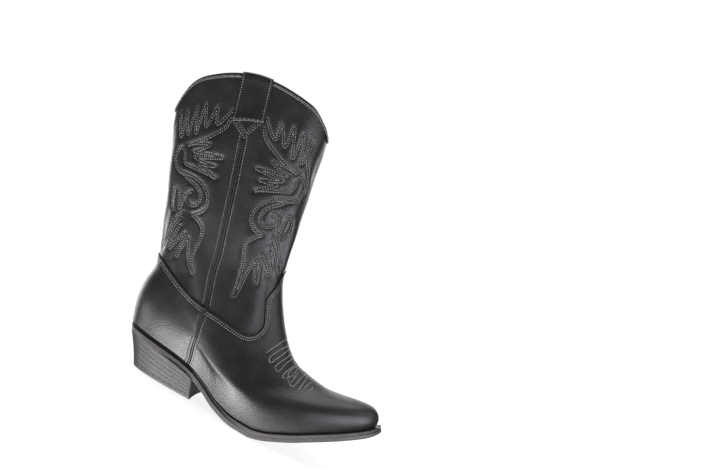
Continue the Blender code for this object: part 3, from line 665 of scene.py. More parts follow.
class Shader:
    """A material's node tree, with short calls for the nodes used here."""

    def __init__(self, name):
        self.material = bpy.data.materials.new(name)
        self.material.use_nodes = True
        self.nodes = self.material.node_tree.nodes
        self.links = self.material.node_tree.links
        self.surface = self.nodes["Principled BSDF"]
        self.place = self.nodes.new("ShaderNodeTexCoord").outputs["Object"]

    def feed(self, socket, value):
        """Links a node's output to a socket, or sets the socket to a constant."""
        if isinstance(value, bpy.types.NodeSocket):
            self.links.new(value, socket)
        else:
            socket.default_value = value

    def node(self, kind, inputs=(), **settings):
        made = self.nodes.new(kind)
        for key, value in settings.items():
            setattr(made, key, value)
        for key, value in dict(inputs).items():
            self.feed(made.inputs[key], value)
        return made

    def noise(self, scale, detail=4.0, roughness=0.55, place=None, distortion=0.0):
        made = self.node("ShaderNodeTexNoise", {"Vector": place or self.place, "Scale": scale,
                                                "Detail": detail, "Roughness": roughness,
                                                "Distortion": distortion})
        return made.outputs["Fac"]

    def cells(self, scale, feature="F1"):
        made = self.node("ShaderNodeTexVoronoi", {"Vector": self.place, "Scale": scale},
                         feature=feature)
        return made.outputs["Distance"]

    def stretched(self, scale):
        made = self.node("ShaderNodeMapping", {"Vector": self.place, "Scale": scale})
        return made.outputs["Vector"]

    def attribute(self, name):
        return self.node("ShaderNodeAttribute", attribute_name=name).outputs["Fac"]

    def maths(self, operation, a, b):
        return self.node("ShaderNodeMath", {0: a, 1: b}, operation=operation).outputs["Value"]

    def scaled(self, value, low, high, new_low, new_high):
        made = self.node("ShaderNodeMapRange", {"Value": value, "From Min": low, "From Max": high,
                                                "To Min": new_low, "To Max": new_high})
        return made.outputs["Result"]

    def mix(self, factor, a, b):
        """Colour between two colours, each an output or (red, green, blue)."""
        colours = [(*c, 1.0) if isinstance(c, tuple) else c for c in (a, b)]
        made = self.node("ShaderNodeMix", {0: factor, 6: colours[0], 7: colours[1]}, data_type="RGBA")
        return made.outputs[2]

    def bump(self, height, distance, strength=1.0, below=None):
        inputs = {"Height": height, "Distance": distance, "Strength": strength}
        if below is not None:
            inputs["Normal"] = below
        return self.node("ShaderNodeBump", inputs).outputs["Normal"]

    def finish(self, colour, roughness, bump=None, **constants):
        sockets = {"Base Color": colour, "Roughness": roughness}
        if bump is not None:
            sockets["Normal"] = bump
        sockets.update({key.replace("_", " "): value for key, value in constants.items()})
        for key, value in sockets.items():
            self.feed(self.surface.inputs[key], value)
        return self.material


def leather(name, dark, light, rough, shine=0.5):
    """Smooth black grain leather: fine pebbles, pores, soft mottling, paler at worn edges."""
    s = Shader(name)
    mottle = s.noise(22.0, 5.0, 0.6)
    pebble = s.cells(850.0, "SMOOTH_F1")
    pores = s.noise(1900.0, 2.0)
    creases = s.noise(160.0, 3.0, 0.6, s.stretched((1.0, 1.0, 0.45)), 0.6)
    wear = s.maths("MULTIPLY", s.attribute("edge"), 0.5)
    shade = s.maths("ADD", s.scaled(mottle, 0.3, 0.7, 0.0, 0.45), wear)
    colour = s.mix(shade, dark, light)
    roughness = s.scaled(s.maths("ADD", s.noise(70.0), s.scaled(pebble, 0.0, 0.6, -0.1, 0.1)),
                         0.3, 0.75, *rough)
    height = s.maths("ADD", s.scaled(pebble, 0.0, 0.6, 1.0, 0.0), s.maths("MULTIPLY", pores, 0.35))
    fine = s.bump(height, 0.00012, 0.9)
    bump = s.bump(creases, 0.0005, 0.35, fine)
    return s.finish(colour, roughness, bump, Specular_IOR_Level=shine, Coat_Weight=0.2 * shine,
                    Coat_Roughness=0.28)


def thread_finish(name, dark, light):
    """Twisted polyester thread."""
    s = Shader(name)
    twist = s.noise(1500.0, 2.0)
    colour = s.mix(s.scaled(s.maths("ADD", twist, s.noise(120.0)), 0.7, 1.3, 0.0, 1.0), dark, light)
    return s.finish(colour, s.scaled(twist, 0.3, 0.7, 0.5, 0.75), s.bump(twist, 0.0001, 0.8))


def layered(name, dark, light, rough, line_scale, depth=0.00015, painted_shade_behind=None):
    """Leather board seen on its cut edge: fine level lines over a mottled ground.

    Behind the range of x given by painted_shade_behind, the edge is painted black: painted shade of the
    recess between the upper and the sole at the waist.
    """
    s = Shader(name)
    lines = s.noise(line_scale, 4.0, 0.7, s.stretched((0.03, 0.03, 1.0)))
    mottle = s.noise(60.0, 4.0)
    fibres = s.noise(900.0, 3.0)
    shade = s.maths("ADD", s.maths("MULTIPLY", lines, 0.8), s.maths("MULTIPLY", mottle, 0.4))
    colour = s.mix(s.scaled(shade, 0.4, 0.8, 0.0, 1.0), dark, light)
    # painted shade: black toward the heel, standing in for the shaded recess above the sole
    if painted_shade_behind:
        x = s.node("ShaderNodeSeparateXYZ", {"Vector": s.place}).outputs["X"]
        colour = s.mix(s.scaled(x, *painted_shade_behind, 0.0, 1.0), (0.008, 0.008, 0.008), colour)
    roughness = s.scaled(s.maths("ADD", lines, fibres), 0.7, 1.3, *rough)
    fine = s.bump(fibres, 0.0001, 0.4)
    return s.finish(colour, roughness, s.bump(lines, depth, 0.7, fine))


def granular(name, dark, light, rough, scale, depth=0.0002, **sockets):
    """Cork, board, rubber and lining: a speckled ground with a fine raised grain."""
    s = Shader(name)
    grains = s.cells(scale)
    speck = s.noise(scale * 0.6, 5.0, 0.7)
    colour = s.mix(s.scaled(speck, 0.35, 0.65, 0.0, 1.0), dark, light)
    roughness = s.scaled(grains, 0.0, 0.7, *rough)
    return s.finish(colour, roughness, s.bump(s.maths("ADD", grains, speck), depth, 0.6), **sockets)


def steel(name):
    """Drawn steel with fine scratches."""
    s = Shader(name)
    scratches = s.noise(900.0, 3.0, 0.6, s.stretched((0.06, 1.0, 1.0)))
    colour = s.mix(scratches, (0.36, 0.36, 0.38), (0.56, 0.56, 0.58))
    roughness = s.scaled(scratches, 0.3, 0.7, 0.25, 0.42)
    return s.finish(colour, roughness, s.bump(scratches, 0.00005, 0.5), Metallic=1.0)


UPPER = leather("upper_leather", (0.0045, 0.0045, 0.0050), (0.014, 0.0135, 0.0135), (0.28, 0.42))
PIPING = leather("piping_leather", (0.004, 0.004, 0.0045), (0.012, 0.0115, 0.0115), (0.30, 0.42))
GLOSSY = leather("patch_leather", (0.004, 0.004, 0.0045), (0.011, 0.0105, 0.0105), (0.26, 0.38))
# Painted light: the wrinkle stitching is the same grey thread as the rest, painted paler to stand in for
# light its rows do not catch.
THREAD_GREY_PAINTED_BRIGHTER = thread_finish("grey_thread_painted_brighter", (0.20, 0.20, 0.20), (0.48, 0.475, 0.47))
THREAD_GREY = thread_finish("grey_thread", (0.09, 0.09, 0.09), (0.28, 0.275, 0.27))
LINING_SKIN = granular("lining_leather", (0.030, 0.026, 0.023), (0.060, 0.052, 0.046), (0.55, 0.75),
                       700.0, 0.00015)
SOLE_EDGE = layered("sole_leather", (0.034, 0.031, 0.029), (0.080, 0.073, 0.069), (0.36, 0.48), 700.0)
# The welt's edge is painted black toward the waist, as painted shade of the recess above it.
WELT_EDGE_WITH_PAINTED_SHADE = layered("welt_leather", (0.034, 0.031, 0.029), (0.090, 0.082, 0.077), (0.36, 0.48), 700.0,
                    painted_shade_behind=(0.022, 0.056))
RAND = leather("rand_leather", (0.004, 0.004, 0.004), (0.009, 0.009, 0.009), (0.60, 0.75), shine=0.15)
STACK = layered("heel_stack", (0.010, 0.009, 0.009), (0.034, 0.031, 0.029), (0.31, 0.43), 1300.0,
                depth=0.00008)
RUBBER = granular("heel_rubber", (0.010, 0.010, 0.010), (0.024, 0.023, 0.023), (0.38, 0.52), 900.0)
CORK = granular("cork", (0.22, 0.12, 0.055), (0.46, 0.30, 0.16), (0.80, 0.95), 420.0, 0.0005)
BOARD = granular("insole_leather", (0.26, 0.17, 0.10), (0.40, 0.29, 0.19), (0.70, 0.88), 600.0)
STIFFENER = granular("stiffener_board", (0.34, 0.27, 0.19), (0.48, 0.40, 0.30), (0.70, 0.85), 800.0)
STEEL = steel("spring_steel")

# ---- the upper

SHAFT_DEPTH = 0.95             # how far the quilting draws the padded shaft in
SHAFT_REACH = 1.8              # how quickly it swells again beside a row
COVER_DEPTH = 0.42             # how far the double row along their edges draws the covers in
COVER_REACH = 1.2
SINGLE_DEPTH = 0.35            # how far a single row draws any leather in
COVER_LAP = 4.0                # the shaft runs this far down past the lining's joint
COVER_RISE = 480.0             # mm for one unit of v at the covers' edges
TOP_TRIM = 0.7                 # from the topline down to the panels' upper edges
FRONT_SEAM_ROW = 3.0           # from the side seam to the stitching in front of it
BACK_SEAM_ROW = 5.1            # and behind it, where a padded strip runs between them
STRIP_RISE = 0.55              # that strip's height
STRIP_SIDE = 0.3               # the leather beside it stays level this far
EDGE_ROW = 3.4                 # from the covers' edges to the middle of their double rows
WRINKLE_DEPTH = 0.21           # the wrinkle stitching's thread lies this deep
WRINKLE_PITCH = 1.9
# The shaft's soft waves: (height, waves round the boot, radians up the shaft, phase)
WAVES = ((0.55, 8, 6.9, 0.0), (0.40, 13, -12.0, 1.0), (0.30, 4, 33.0, 2.0))
CALM_AT_SEAM = 16.0            # degrees over which the waves die out toward the side seams
CALM_AT_COVER = 0.05           # and the share of v toward the covers
CALM_AT_TOP = 0.07             # and toward the topline

# Joint between the shaft's and the foot's linings, just below the covers' edges: (theta, v)
LINING_JOINT = [(0, 0.385), (40, 0.320), (75, 0.292), (100, 0.306), (128, 0.292), (150, 0.320),
                (180, 0.420)]

lining_joint = curve(LINING_JOINT)


def ones(theta):
    return np.ones_like(theta)


def joint(theta):
    return lining_joint(fold(theta))


def shaft_foot(theta):
    """v of the shaft panels' lower edge, hidden under the vamp and the counter."""
    return joint(theta) - COVER_LAP / COVER_RISE


def cover_top(theta):
    return cover_edge(fold(theta))


def padded_strip(face, row):
    """Rise of the padded strip between each side edge of a panel and the row beside it."""
    length = running_length(face)
    seam = np.minimum(length, length[:, -1:] - length) + SEAM_HALF_GAP
    from_crest = (seam - row / 2 - STRIP_SIDE) / (row / 2 - STRIP_SIDE)
    return STRIP_RISE * np.clip(1 - from_crest ** 2, 0, 1)


def soft_folds(theta, v):
    """Shallow waves of the padded shaft, flat beside its seams and edges."""
    turn = np.radians(theta)
    seam = np.clip(np.abs(fold(theta) - 90) / CALM_AT_SEAM, 0, 1)
    low = np.clip((v - cover_top(theta)) / CALM_AT_COVER, 0, 1)
    rim = np.minimum(np.minimum(seam, low), np.clip((1 - v) / CALM_AT_TOP, 0, 1))
    waves = sum(height * np.sin(count * turn + rise * v + phase)
                for height, count, rise, phase in WAVES)
    return waves * rim * rim * (3 - 2 * rim)


def build_shaft(name, chart, seam_row, flame_end, thread):
    """Shaft panel: padded, with the quilting on both quarters and a row down each side seam."""
    middles = quilt_middles(chart, flame_end)
    low = float(cover_edge(90.0)) + 0.01
    sides = seam_lines(chart, seam_row, low, PATCH_TIP_V + 0.015)
    theta, v = panel_lines(chart, shaft_foot, ones, 365, 237, trim=(0.0, TOP_TRIM))
    face = offset(theta, v, SHAFT[1])
    relief = height_near(surface(theta, v), middles, sides, SHAFT_DEPTH, SHAFT_REACH)
    relief += soft_folds(theta, v)
    if seam_row == BACK_SEAM_ROW:
        relief += padded_strip(face, seam_row)
    sheet(name + "_leather", face, SHAFT[1] - SHAFT[0], UPPER, (name,), relief)
    stitch_rows(thread, double(middles), -SHAFT_DEPTH, soft_folds)
    stitch_rows(thread, sides, -SINGLE_DEPTH, soft_folds)


def wrinkle_rows():
    """Rows (theta, v) of the wrinkle stitching on both sides of the instep."""
    rows = []
    for points in WRINKLES:
        path = smooth_path(points, 1.0)
        found = find_on_surface(path)
        rows.append((found[:, 0], found[:, 1]))
        rows.append((360.0 - found[:, 0], found[:, 1]))
    return rows


def build_cover(name, chart, seam_row, rows, columns, thread, extra=()):
    """Vamp or counter cover, with a double row along its edge and a row down each side seam."""
    middles = [edge_line(chart, EDGE_ROW)]
    sides = seam_lines(chart, seam_row, 0.004, float(cover_edge(90.0)) - 0.02)
    theta, v = panel_lines(chart, np.zeros_like, cover_top, rows, columns)
    face = offset(theta, v, COVER[1])
    relief = height_near(surface(theta, v), middles, sides + list(extra), COVER_DEPTH, COVER_REACH)
    if seam_row == BACK_SEAM_ROW:
        relief += padded_strip(face, seam_row)
    sheet(name + "_leather", face, COVER[1] - COVER[0], UPPER, (name,), relief)
    stitch_rows(thread, double(middles), COVER[1] - COVER_DEPTH)
    stitch_rows(thread, sides, COVER[1] - SINGLE_DEPTH)


def build_lining(name, chart, low, high, rows, columns, trim):
    """Lining panel; its fine face is the one toward the foot."""
    theta, v = panel_lines(chart, low, high, rows, columns, 0.0, trim)
    face = offset(theta, v, LINING[0])[:, ::-1]
    sheet(name + "_skin", face, LINING[1] - LINING[0], LINING_SKIN, (name,),
          roll=0.5)


def build_upper():
    shaft_thread = Thread()
    cover_thread = Thread()
    wrinkle_thread = Thread()
    build_shaft("shaft_front", FRONT, FRONT_SEAM_ROW, FRONT_FLAME_END, shaft_thread)
    build_shaft("shaft_back", BACK, BACK_SEAM_ROW, BACK_FLAME_END, shaft_thread)
    wrinkles = wrinkle_rows()
    build_cover("vamp", FRONT, FRONT_SEAM_ROW, 125, 481, cover_thread, wrinkles)
    build_cover("counter_cover", BACK, BACK_SEAM_ROW, 101, 241, cover_thread)
    stitch_rows(wrinkle_thread, wrinkles, COVER[1] - WRINKLE_DEPTH, pitch=WRINKLE_PITCH)
    shaft_thread.piece("shaft_stitching", THREAD_GREY, "upper_leather")
    cover_thread.piece("foot_stitching", THREAD_GREY, "upper_leather")
    # painted light: the wrinkle rows get the grey thread painted brighter
    wrinkle_thread.piece("wrinkle_stitching", THREAD_GREY_PAINTED_BRIGHTER, "upper_leather")
    for name, chart in (("front", FRONT), ("back", BACK)):
        build_lining("shaft_lining_" + name, chart, joint, ones, 65, 121, (GAP, TOP_TRIM))
    build_lining("vamp_lining", FRONT, np.zeros_like, joint, 49, 161, (0.0, GAP))
    build_lining("counter_lining", BACK, np.zeros_like, joint, 41, 101, (0.0, GAP))


def strap_point(theta, rise, distance):
    """Point at a distance above (or, if negative, below) the topline and out from the surface."""
    theta, rise, distance = np.broadcast_arrays(theta, rise, distance)
    v = np.minimum(1 + rise / rise_scale(theta, 0.97), 1.0)
    return offset(theta, v, distance) + upward(theta) * np.maximum(rise, 0.0)[..., None]


# The pull strap's outer face from its lower outside end over the topline to its inside end, as
# (distance above the topline, offset from the design surface)
STRAP_PATH = [
    (-STRAP_LENGTH, 1.9), (-47.3, 2.7), (-45.2, 3.2), (-42.5, 3.1), (-40.3, 2.2), (-36.0, 1.9),
    (-20.0, 1.9), (-9.0, 2.2), (-4.0, 2.7), (-0.5, 2.8), (1.2, 2.3), (2.3, 0.6), (2.4, -1.6),
    (2.1, -3.8), (0.9, -5.0), (-2.0, -5.1), (-20.0, -5.1), (-STRAP_INSIDE_LENGTH, -5.1)]
STRAP_THICKNESS = 1.4
STRAP_ROW = 2.4                # from the strap's sides to its rows
STRAP_ROW_DEPTH = 0.35
STRAP_THREAD_DEPTH = 0.3
STRAP_SCALE = 260.0            # mm for one unit of v beside the strap
STRAP_EDGE_SWELL = (0.25, 0.9)   # height and half width of the swelling outside those rows
STRAP_END_LINE = -46.2         # height of the line that draws in the fold at its lower end
STRAP_END_DEPTH = 0.3
PUFF = (-43.3, 2.8)            # height of the fold's middle and half its length
PUCKER = (0.30, 4.6)           # depth and spacing of the fold's puckers
ROW_WIDTH = 0.7                # how quickly the strap rises beside its rows
PATCH_LAYER = (0.45, 1.85)
PATCH_ROWS = (1.3, 3.3)        # from the patch's sides to its rows
PATCH_ROW_DEPTH = 0.3
PATCH_ROW_WIDTH = 0.5
PATCH_PADDING = (0.35, 0.8, 2.0)   # slope, start beyond the inner row, and length of its swelling
PATCH_SIDE = 0.75              # mm square to the patch's slanting sides for one mm across
PATCH_UNDER = 0.004            # the patch runs this much of v up under the strap
PATCH_ROW_START = 0.9          # the rows start where the patch is this much wider than they need
PATCH_ROW_END = 0.96           # and end at this share of the way up

TOP_RISE = float(rise_scale(90.0, 0.97))
STRAP_BOTTOM_V = 1.0 - STRAP_LENGTH / TOP_RISE
PATCH_TIP_V = STRAP_BOTTOM_V - (PATCH_DEPTH + 0.8) / float(rise_scale(90.0, STRAP_BOTTOM_V))


def outer_way(seam):
    """Way in which theta grows toward the toe, seen from outside that seam."""
    return 1 if seam < 180 else -1


def build_strap(name, seam, thread):
    """Leather band from below the outside of the topline, over it, and down inside."""
    side = outer_way(seam)
    path = smooth_path(STRAP_PATH, 0.7)
    rows = 1 + COARSE * round((len(path) - 1) / COARSE)
    path = np.stack([np.interp(np.linspace(0, 1, rows), np.linspace(0, 1, len(path)), path[:, i])
                     for i in (0, 1)], -1)
    height = path[:, :1]
    share, distance = grid_lines(49)
    across = (share * 2 - 1) * STRAP_HALF_WIDTH + distance
    drop = np.clip(-height / STRAP_LENGTH, 0, 1)
    rise = height + STRAP_SLANT * drop ** 2 * across / STRAP_HALF_WIDTH
    theta = seam + side * across / turn_scale(seam, 1 + np.minimum(rise, 0) / STRAP_SCALE)
    face = strap_point(theta, rise, path[:, 1:])[:, ::side]
    out = grid_normals(face)
    edge = STRAP_HALF_WIDTH - np.abs(across)
    swell, half = STRAP_EDGE_SWELL
    relief = -STRAP_ROW_DEPTH * np.exp(-np.abs(edge - STRAP_ROW) / ROW_WIDTH) + 0 * rise
    relief = relief + swell * np.clip(1 - np.abs(edge - half) / half, 0, 1)
    relief = relief - STRAP_END_DEPTH * np.exp(-np.abs(height - STRAP_END_LINE) / ROW_WIDTH)
    puff = np.clip(1 - ((height - PUFF[0]) / PUFF[1]) ** 2, 0, 1)
    relief = relief + PUCKER[0] * puff * np.sin(across * 2 * math.pi / PUCKER[1])
    sheet(name + "_leather", face, STRAP_THICKNESS, UPPER, (name,), relief)
    outside = slice(1, int(np.argmax(path[:, 0] > -1)) + 4)
    for way in (-1, 1):
        column = np.argmin(np.abs(way * across - STRAP_HALF_WIDTH + STRAP_ROW))
        line = face[outside, column] - out[outside, column] * STRAP_THREAD_DEPTH
        thread.row(line, out[outside, column])


def patch_half(up):
    """Half width of the patch at a share of the way up it."""
    return PATCH_TIP_HALF_WIDTH + (STRAP_HALF_WIDTH - PATCH_TIP_HALF_WIDTH) * up


def patch_place(seam, up, across, top=STRAP_BOTTOM_V):
    """Theta and v at shares of the way up the patch and across it."""
    v = PATCH_TIP_V + (top - PATCH_TIP_V) * up + STRAP_SLANT * up * across / TOP_RISE
    return seam + outer_way(seam) * patch_half(up) * across / turn_scale(seam, v), v


def build_patch(name, seam, thread):
    """Pointed patch that anchors the strap to the side seam, with two rows along its sides."""
    up = np.linspace(0, 1, 41)[:, None]
    share, distance = grid_lines(49)
    spread = (share * 2 - 1) + distance / STRAP_HALF_WIDTH
    theta, v = patch_place(seam, up, spread, STRAP_BOTTOM_V + PATCH_UNDER)
    face = offset(theta, v, PATCH_LAYER[1])[:, ::outer_way(seam)]
    inward = patch_half(up) * (1 - np.abs(spread)) * PATCH_SIDE
    slope, start, length = PATCH_PADDING
    relief = slope * np.clip(inward - PATCH_ROWS[1] - start, 0, length)
    for row in PATCH_ROWS:
        relief = relief - PATCH_ROW_DEPTH * np.exp(-np.abs(inward - row) / PATCH_ROW_WIDTH)
    thickness = PATCH_LAYER[1] - PATCH_LAYER[0]
    sheet(name + "_leather", face, thickness, GLOSSY, (name,), relief)
    for row in PATCH_ROWS:
        low = (row + PATCH_ROW_START) / PATCH_SIDE - PATCH_TIP_HALF_WIDTH
        reach = np.linspace(low / (STRAP_HALF_WIDTH - PATCH_TIP_HALF_WIDTH), PATCH_ROW_END, 60)
        for way in (-1, 1):
            place_across = way * (1 - row / PATCH_SIDE / patch_half(reach))
            theta, v = patch_place(seam, reach, place_across)
            thread.row(offset(theta, v, PATCH_LAYER[1] - PATCH_ROW_DEPTH), normal(theta, v))


# Binding's section: (distance above the topline, offset from the design surface)
BINDING_SECTION = [
    (-4.0, 0.75), (-3.85, 1.0), (-2.0, 1.1), (-0.3, 1.0), (0.5, 0.75), (0.95, 0.1), (1.05, -1.4),
    (0.95, -2.9), (0.5, -3.55), (-0.3, -3.8), (-3.85, -3.8), (-4.0, -3.5), (-3.85, -3.25),
    (-0.6, -3.2), (0.05, -2.8), (0.15, -1.4), (0.05, 0.0), (-0.6, 0.4), (-3.85, 0.42)]
BINDING_ROW = -1.9             # height of the binding's rows
BINDING_FACES = ((1.1, 1), (-3.8, -1))   # (offset of its outside and inside, their outward sign)
BINDING_END = 0.25             # from the side seam to the end of each length
PIPING_HALF_WIDTH = 1.05
PIPING_CREST = 0.95            # its height beside the shaft; the covers lift it by their thickness
PIPING_STEP = 160.0            # steepness of that lift, per unit of v


def build_binding(name, chart, thread):
    """Narrow strip folded over the top edges of the shaft and its lining."""
    along = np.linspace(BINDING_END, float(chart.total(1.0)) - BINDING_END, 201)
    theta = chart.theta(along, np.ones(201))[:, None]
    section = np.array(BINDING_SECTION)
    loops = strap_point(theta, section[None, :, 0], section[None, :, 1])
    rings(name + "_leather", loops, PIPING, (name,))
    under_strap = STRAP_HALF_WIDTH + 1
    clear = theta[(along > under_strap) & (along < along[-1] - under_strap), 0]
    for distance, sign in BINDING_FACES:
        line = strap_point(clear, BINDING_ROW, distance)
        thread.row(line, sign * normal(clear, np.full(len(clear), 0.985)))


def build_piping(name, seam):
    """Folded strip that stands up in the side seam, from the sole to the strap's patch."""
    v = np.linspace(0.0, PATCH_TIP_V - 0.002, 160)
    beside_cover = 1 / (1 + np.exp((v - float(cover_edge(90.0))) * PIPING_STEP))
    crest = PIPING_CREST + (COVER[1] - COVER[0]) * beside_cover
    around = np.linspace(0, 2 * math.pi, 17)[:-1]
    top = crest[:, None] + (np.cos(around) - 1) * PIPING_HALF_WIDTH
    lift = np.where(np.cos(around) > 0, top, SHAFT[0])
    width = PIPING_HALF_WIDTH * np.sin(around)
    theta = seam + width[None] / turn_scale(seam, v)[:, None]
    loops = offset(theta, v[:, None] + 0 * theta, lift)
    loops[0, :, 2] = feather_height(loops[0, :, 0])
    rings(name + "_leather", loops[:, ::-1], PIPING, (name,))


def build_trim():
    thread = Thread()
    for side, seam in (("lateral", 90.0), ("medial", 270.0)):
        build_strap("pull_strap_" + side, seam, thread)
        build_patch("strap_patch_" + side, seam, thread)
        build_piping("side_piping_" + side, seam)
    build_binding("top_binding_front", FRONT, thread)
    build_binding("top_binding_back", BACK, thread)
    thread.piece("top_stitching", THREAD_GREY, "upper_leather")


# ---- the bottom

MEAN_MARGIN = 5.0              # margin of the line that the sole's points are evenly spaced along
JOINT = 0.03                   # what shows of the clearance between two pressed layers
EASE = 0.05                    # how far a heel lift's corners are drawn in
TREAD_EASE = 0.5               # and the top piece's lower corner
BREAST_HOLLOW = 1.1
OUTSOLE_RIM = 6.0              # width of the outsole's fine outer rim
STRIP_INNER = -7.0             # the welt's and the rand's inner side, under the upper
STRIP_GROOVE = ((1.6, 0.02), (2.0, 0.30), (2.4, 0.02))   # (inset from the edge, depth)
SOCK = OUTSOLE + GAP + WELT + GAP + 2.7   # the sock lining's underside, on the insole board
SOCK_SECTION = ((-5.6, 0.0), (-4.9, 0.2), (-4.9, 0.7), (-5.4, 0.9))   # (margin, height)
WAIST_ENDS = (94.0, 93.95)     # theta where the welt ends at the waist, and where the rand does
POINT_GAP = 0.1                # closest, in theta, that another point comes to those ends

# How far the welt and the rand are set back from the outsole's edge: (theta, mm)
recess = curve([(0, 1.2), (30, 1.6), (105, 1.6), (118, 0.8), (130, 0.0), (180, 0.0)])


def plan_points(theta, margin):
    """Points of the upper's bottom edge moved out in plan."""
    here = surface(theta, 0.0)
    along = surface(theta + 0.4, 0.0) - surface(theta - 0.4, 0.0)
    out = unit(np.stack([along[..., 1], -along[..., 0], 0 * along[..., 0]], -1))
    return here + out * np.asarray(margin)[..., None]


def sole_loop(theta, margin, level):
    """Closed line round the sole at a margin and a height above the outsole's underside."""
    points = plan_points(theta, margin)
    points[:, 2] = sole_height(points[:, 0]) + level
    return points


def rimmed_plate(name, loops, finish, replaced):
    """Closed plate from loops that run round the sole, bottom to top, with level ends."""
    loops = np.array(loops)
    count, points = loops.shape[:2]
    faces = band_faces(count, points).tolist()
    for start, flip in ((0, True), ((count - 1) * points, False)):
        for i in range(points // 2):
            cell = [i, i + 1, points - i - 1, (points - i) % points]
            cell = list(dict.fromkeys(start + k for k in cell))
            faces.append(cell[::-1] if flip else cell)
    add_piece(name, loops.reshape(-1, 3), faces, finish, replaced)


def around_sole(count=480):
    """Angles round the whole sole, evenly spaced along its edge and the same on both sides."""
    angles = np.linspace(0, 180, 721)
    length = running_length(plan_points(angles, np.full(721, MEAN_MARGIN)))
    half = np.interp(np.linspace(0, length[-1], count // 2 + 1), length, angles)
    return np.concatenate([half, 360 - half[-2:0:-1]])


def edge_profile(low, high, steps, radius=0.5):
    """(inset, height, share up) of a sole edge with rounded corners."""
    corner = np.linspace(0, math.pi / 2, 5)
    points = [(radius * (1 - math.sin(a)), low + radius * (1 - math.cos(a))) for a in corner]
    for level in np.linspace(low + radius, high - radius, steps)[1:-1]:
        points.append((0.0, level))
    points += [(radius * (1 - math.cos(a)), high - radius * (1 - math.sin(a))) for a in corner]
    return [(inset, level, (level - low) / (high - low)) for inset, level in points]


def build_outsole():
    theta = around_sole()
    upper, ground = sole_margins(fold(theta)).T
    top = ground * 0.4 + upper * 0.6
    loops = [sole_loop(theta, ground - OUTSOLE_RIM, 0.0)]
    loops += [sole_loop(theta, ground * (1 - up) + top * up - inset, level)
              for inset, level, up in edge_profile(0.0, OUTSOLE, 6, 0.4)]
    loops.append(sole_loop(theta, top - OUTSOLE_RIM, OUTSOLE))
    rimmed_plate("outsole_leather", loops, SOLE_EDGE, ("outsole",))


def build_strip(name, theta, node, finish):
    """Welt or rand: a strip with rounded corners, set back from the sole's edge at heel and waist."""
    edge = sole_margins(fold(theta))[:, 0] - recess(fold(theta))
    low = OUTSOLE + JOINT
    high = OUTSOLE + GAP + WELT
    loops = [sole_loop(theta, edge - inset, level)
             for inset, level, _ in edge_profile(low, high, 5, 0.35)]
    loops += [sole_loop(theta, edge - inset, high - depth) for inset, depth in STRIP_GROOVE]
    inner = np.full(len(theta), STRIP_INNER)
    loops = [sole_loop(theta, inner, low)] + loops + [sole_loop(theta, inner, high)]
    rings(name, np.array(loops).transpose(1, 0, 2), finish, (node,))


def build_sock():
    theta = around_sole(360)
    loops = [sole_loop(theta, np.full(360, margin), SOCK + level) for margin, level in SOCK_SECTION]
    rimmed_plate("sock_lining_skin", loops, LINING_SKIN, ("sock_lining",))


def lift_joint(share, clearance):
    """Height of a joint between lifts as a function of x."""
    def level(x):
        return TOP_PIECE + (sole_height(x) - GAP - TOP_PIECE) * share + clearance
    return level


def heel_outline(level, inset):
    """Outline of the heel, round at the back, with a slightly hollow breast."""
    angle = np.linspace(-math.pi / 2, math.pi / 2, 121)
    breast = np.where(angle > 0, BREAST_OUTER_X, BREAST_INNER_X)
    height = np.zeros(121)
    for _ in range(5):
        back = HEEL_BACK_X - HEEL_BACK_LEAN * height - HEEL_BACK_FLARE * height * height
        front = breast - BREAST_LEAN * height
        x = back + (front - back) * (1 - np.cos(angle))
        height = level(x)
    inner = HEEL_INNER_CUT * (angle < 0) * (1 - np.cos(angle))
    wide = HEEL_HALF_WIDTH + HEEL_SPREAD * height - inner
    y = -np.sign(angle) * wide * np.abs(np.sin(angle)) ** HEEL_ROUNDNESS
    ring = np.stack([x, y], -1)
    across = np.linspace(0, 1, 26)[1:-1, None]
    chord = ring[-1] + (ring[0] - ring[-1]) * across
    chord[:, 0] -= BREAST_HOLLOW * np.sin(np.pi * across[:, 0])
    ring = np.concatenate([ring, chord])
    ahead = np.roll(ring, -1, 0) - np.roll(ring, 1, 0)
    inward = unit(np.stack([-ahead[:, 1], ahead[:, 0]], -1))
    ring = ring - inward * inset * np.sign(np.sum(inward * (ring - ring.mean(0)), 1))[:, None]
    return np.column_stack([ring, level(ring[:, 0])])


def build_heel():
    """Rubber top piece and leather lifts, pressed together and each with its edges eased."""
    joints = [(lambda x: 0 * x, lift_joint(0.0, GAP - JOINT))]
    for number in range(HEEL_LIFTS):
        joints.append((lift_joint(number / HEEL_LIFTS, GAP),
                       lift_joint((number + 1) / HEEL_LIFTS, GAP - JOINT)))
    for number, (low, high) in enumerate(joints):
        foot = EASE if number else TREAD_EASE
        shares = ((0.0, foot), (0.04, foot * 0.3), (0.1, 0.0), (0.5, 0.0), (0.93, 0.0),
                  (0.975, EASE * 0.3), (1.0, EASE))
        loops = np.array([heel_outline(lambda x, s=s: low(x) + (high(x) - low(x)) * s, inset)
                          for s, inset in shares])[:, ::-1]
        if number:
            node = f"heel_lift_{number}"
            rings(node + "_leather", loops, STACK, (node,))
        else:
            rings("heel_top_piece_rubber", loops, RUBBER, ("heel_top_piece",))


def finish_hidden_nodes():
    """The frame's own pieces that lie out of sight keep their shape and get their finish."""
    finishes = {"heel_counter_stiffener": STIFFENER, "toe_puff": STIFFENER, "insole_board": BOARD,
                "bottom_filler": CORK, "shank": STEEL}
    for number in range(5):
        finishes[f"heel_nail_{number + 1}"] = STEEL
    for node, finish in finishes.items():
        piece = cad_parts[node]
        for i in range(len(piece.material_slots)):
            piece.material_slots[i].material = finish


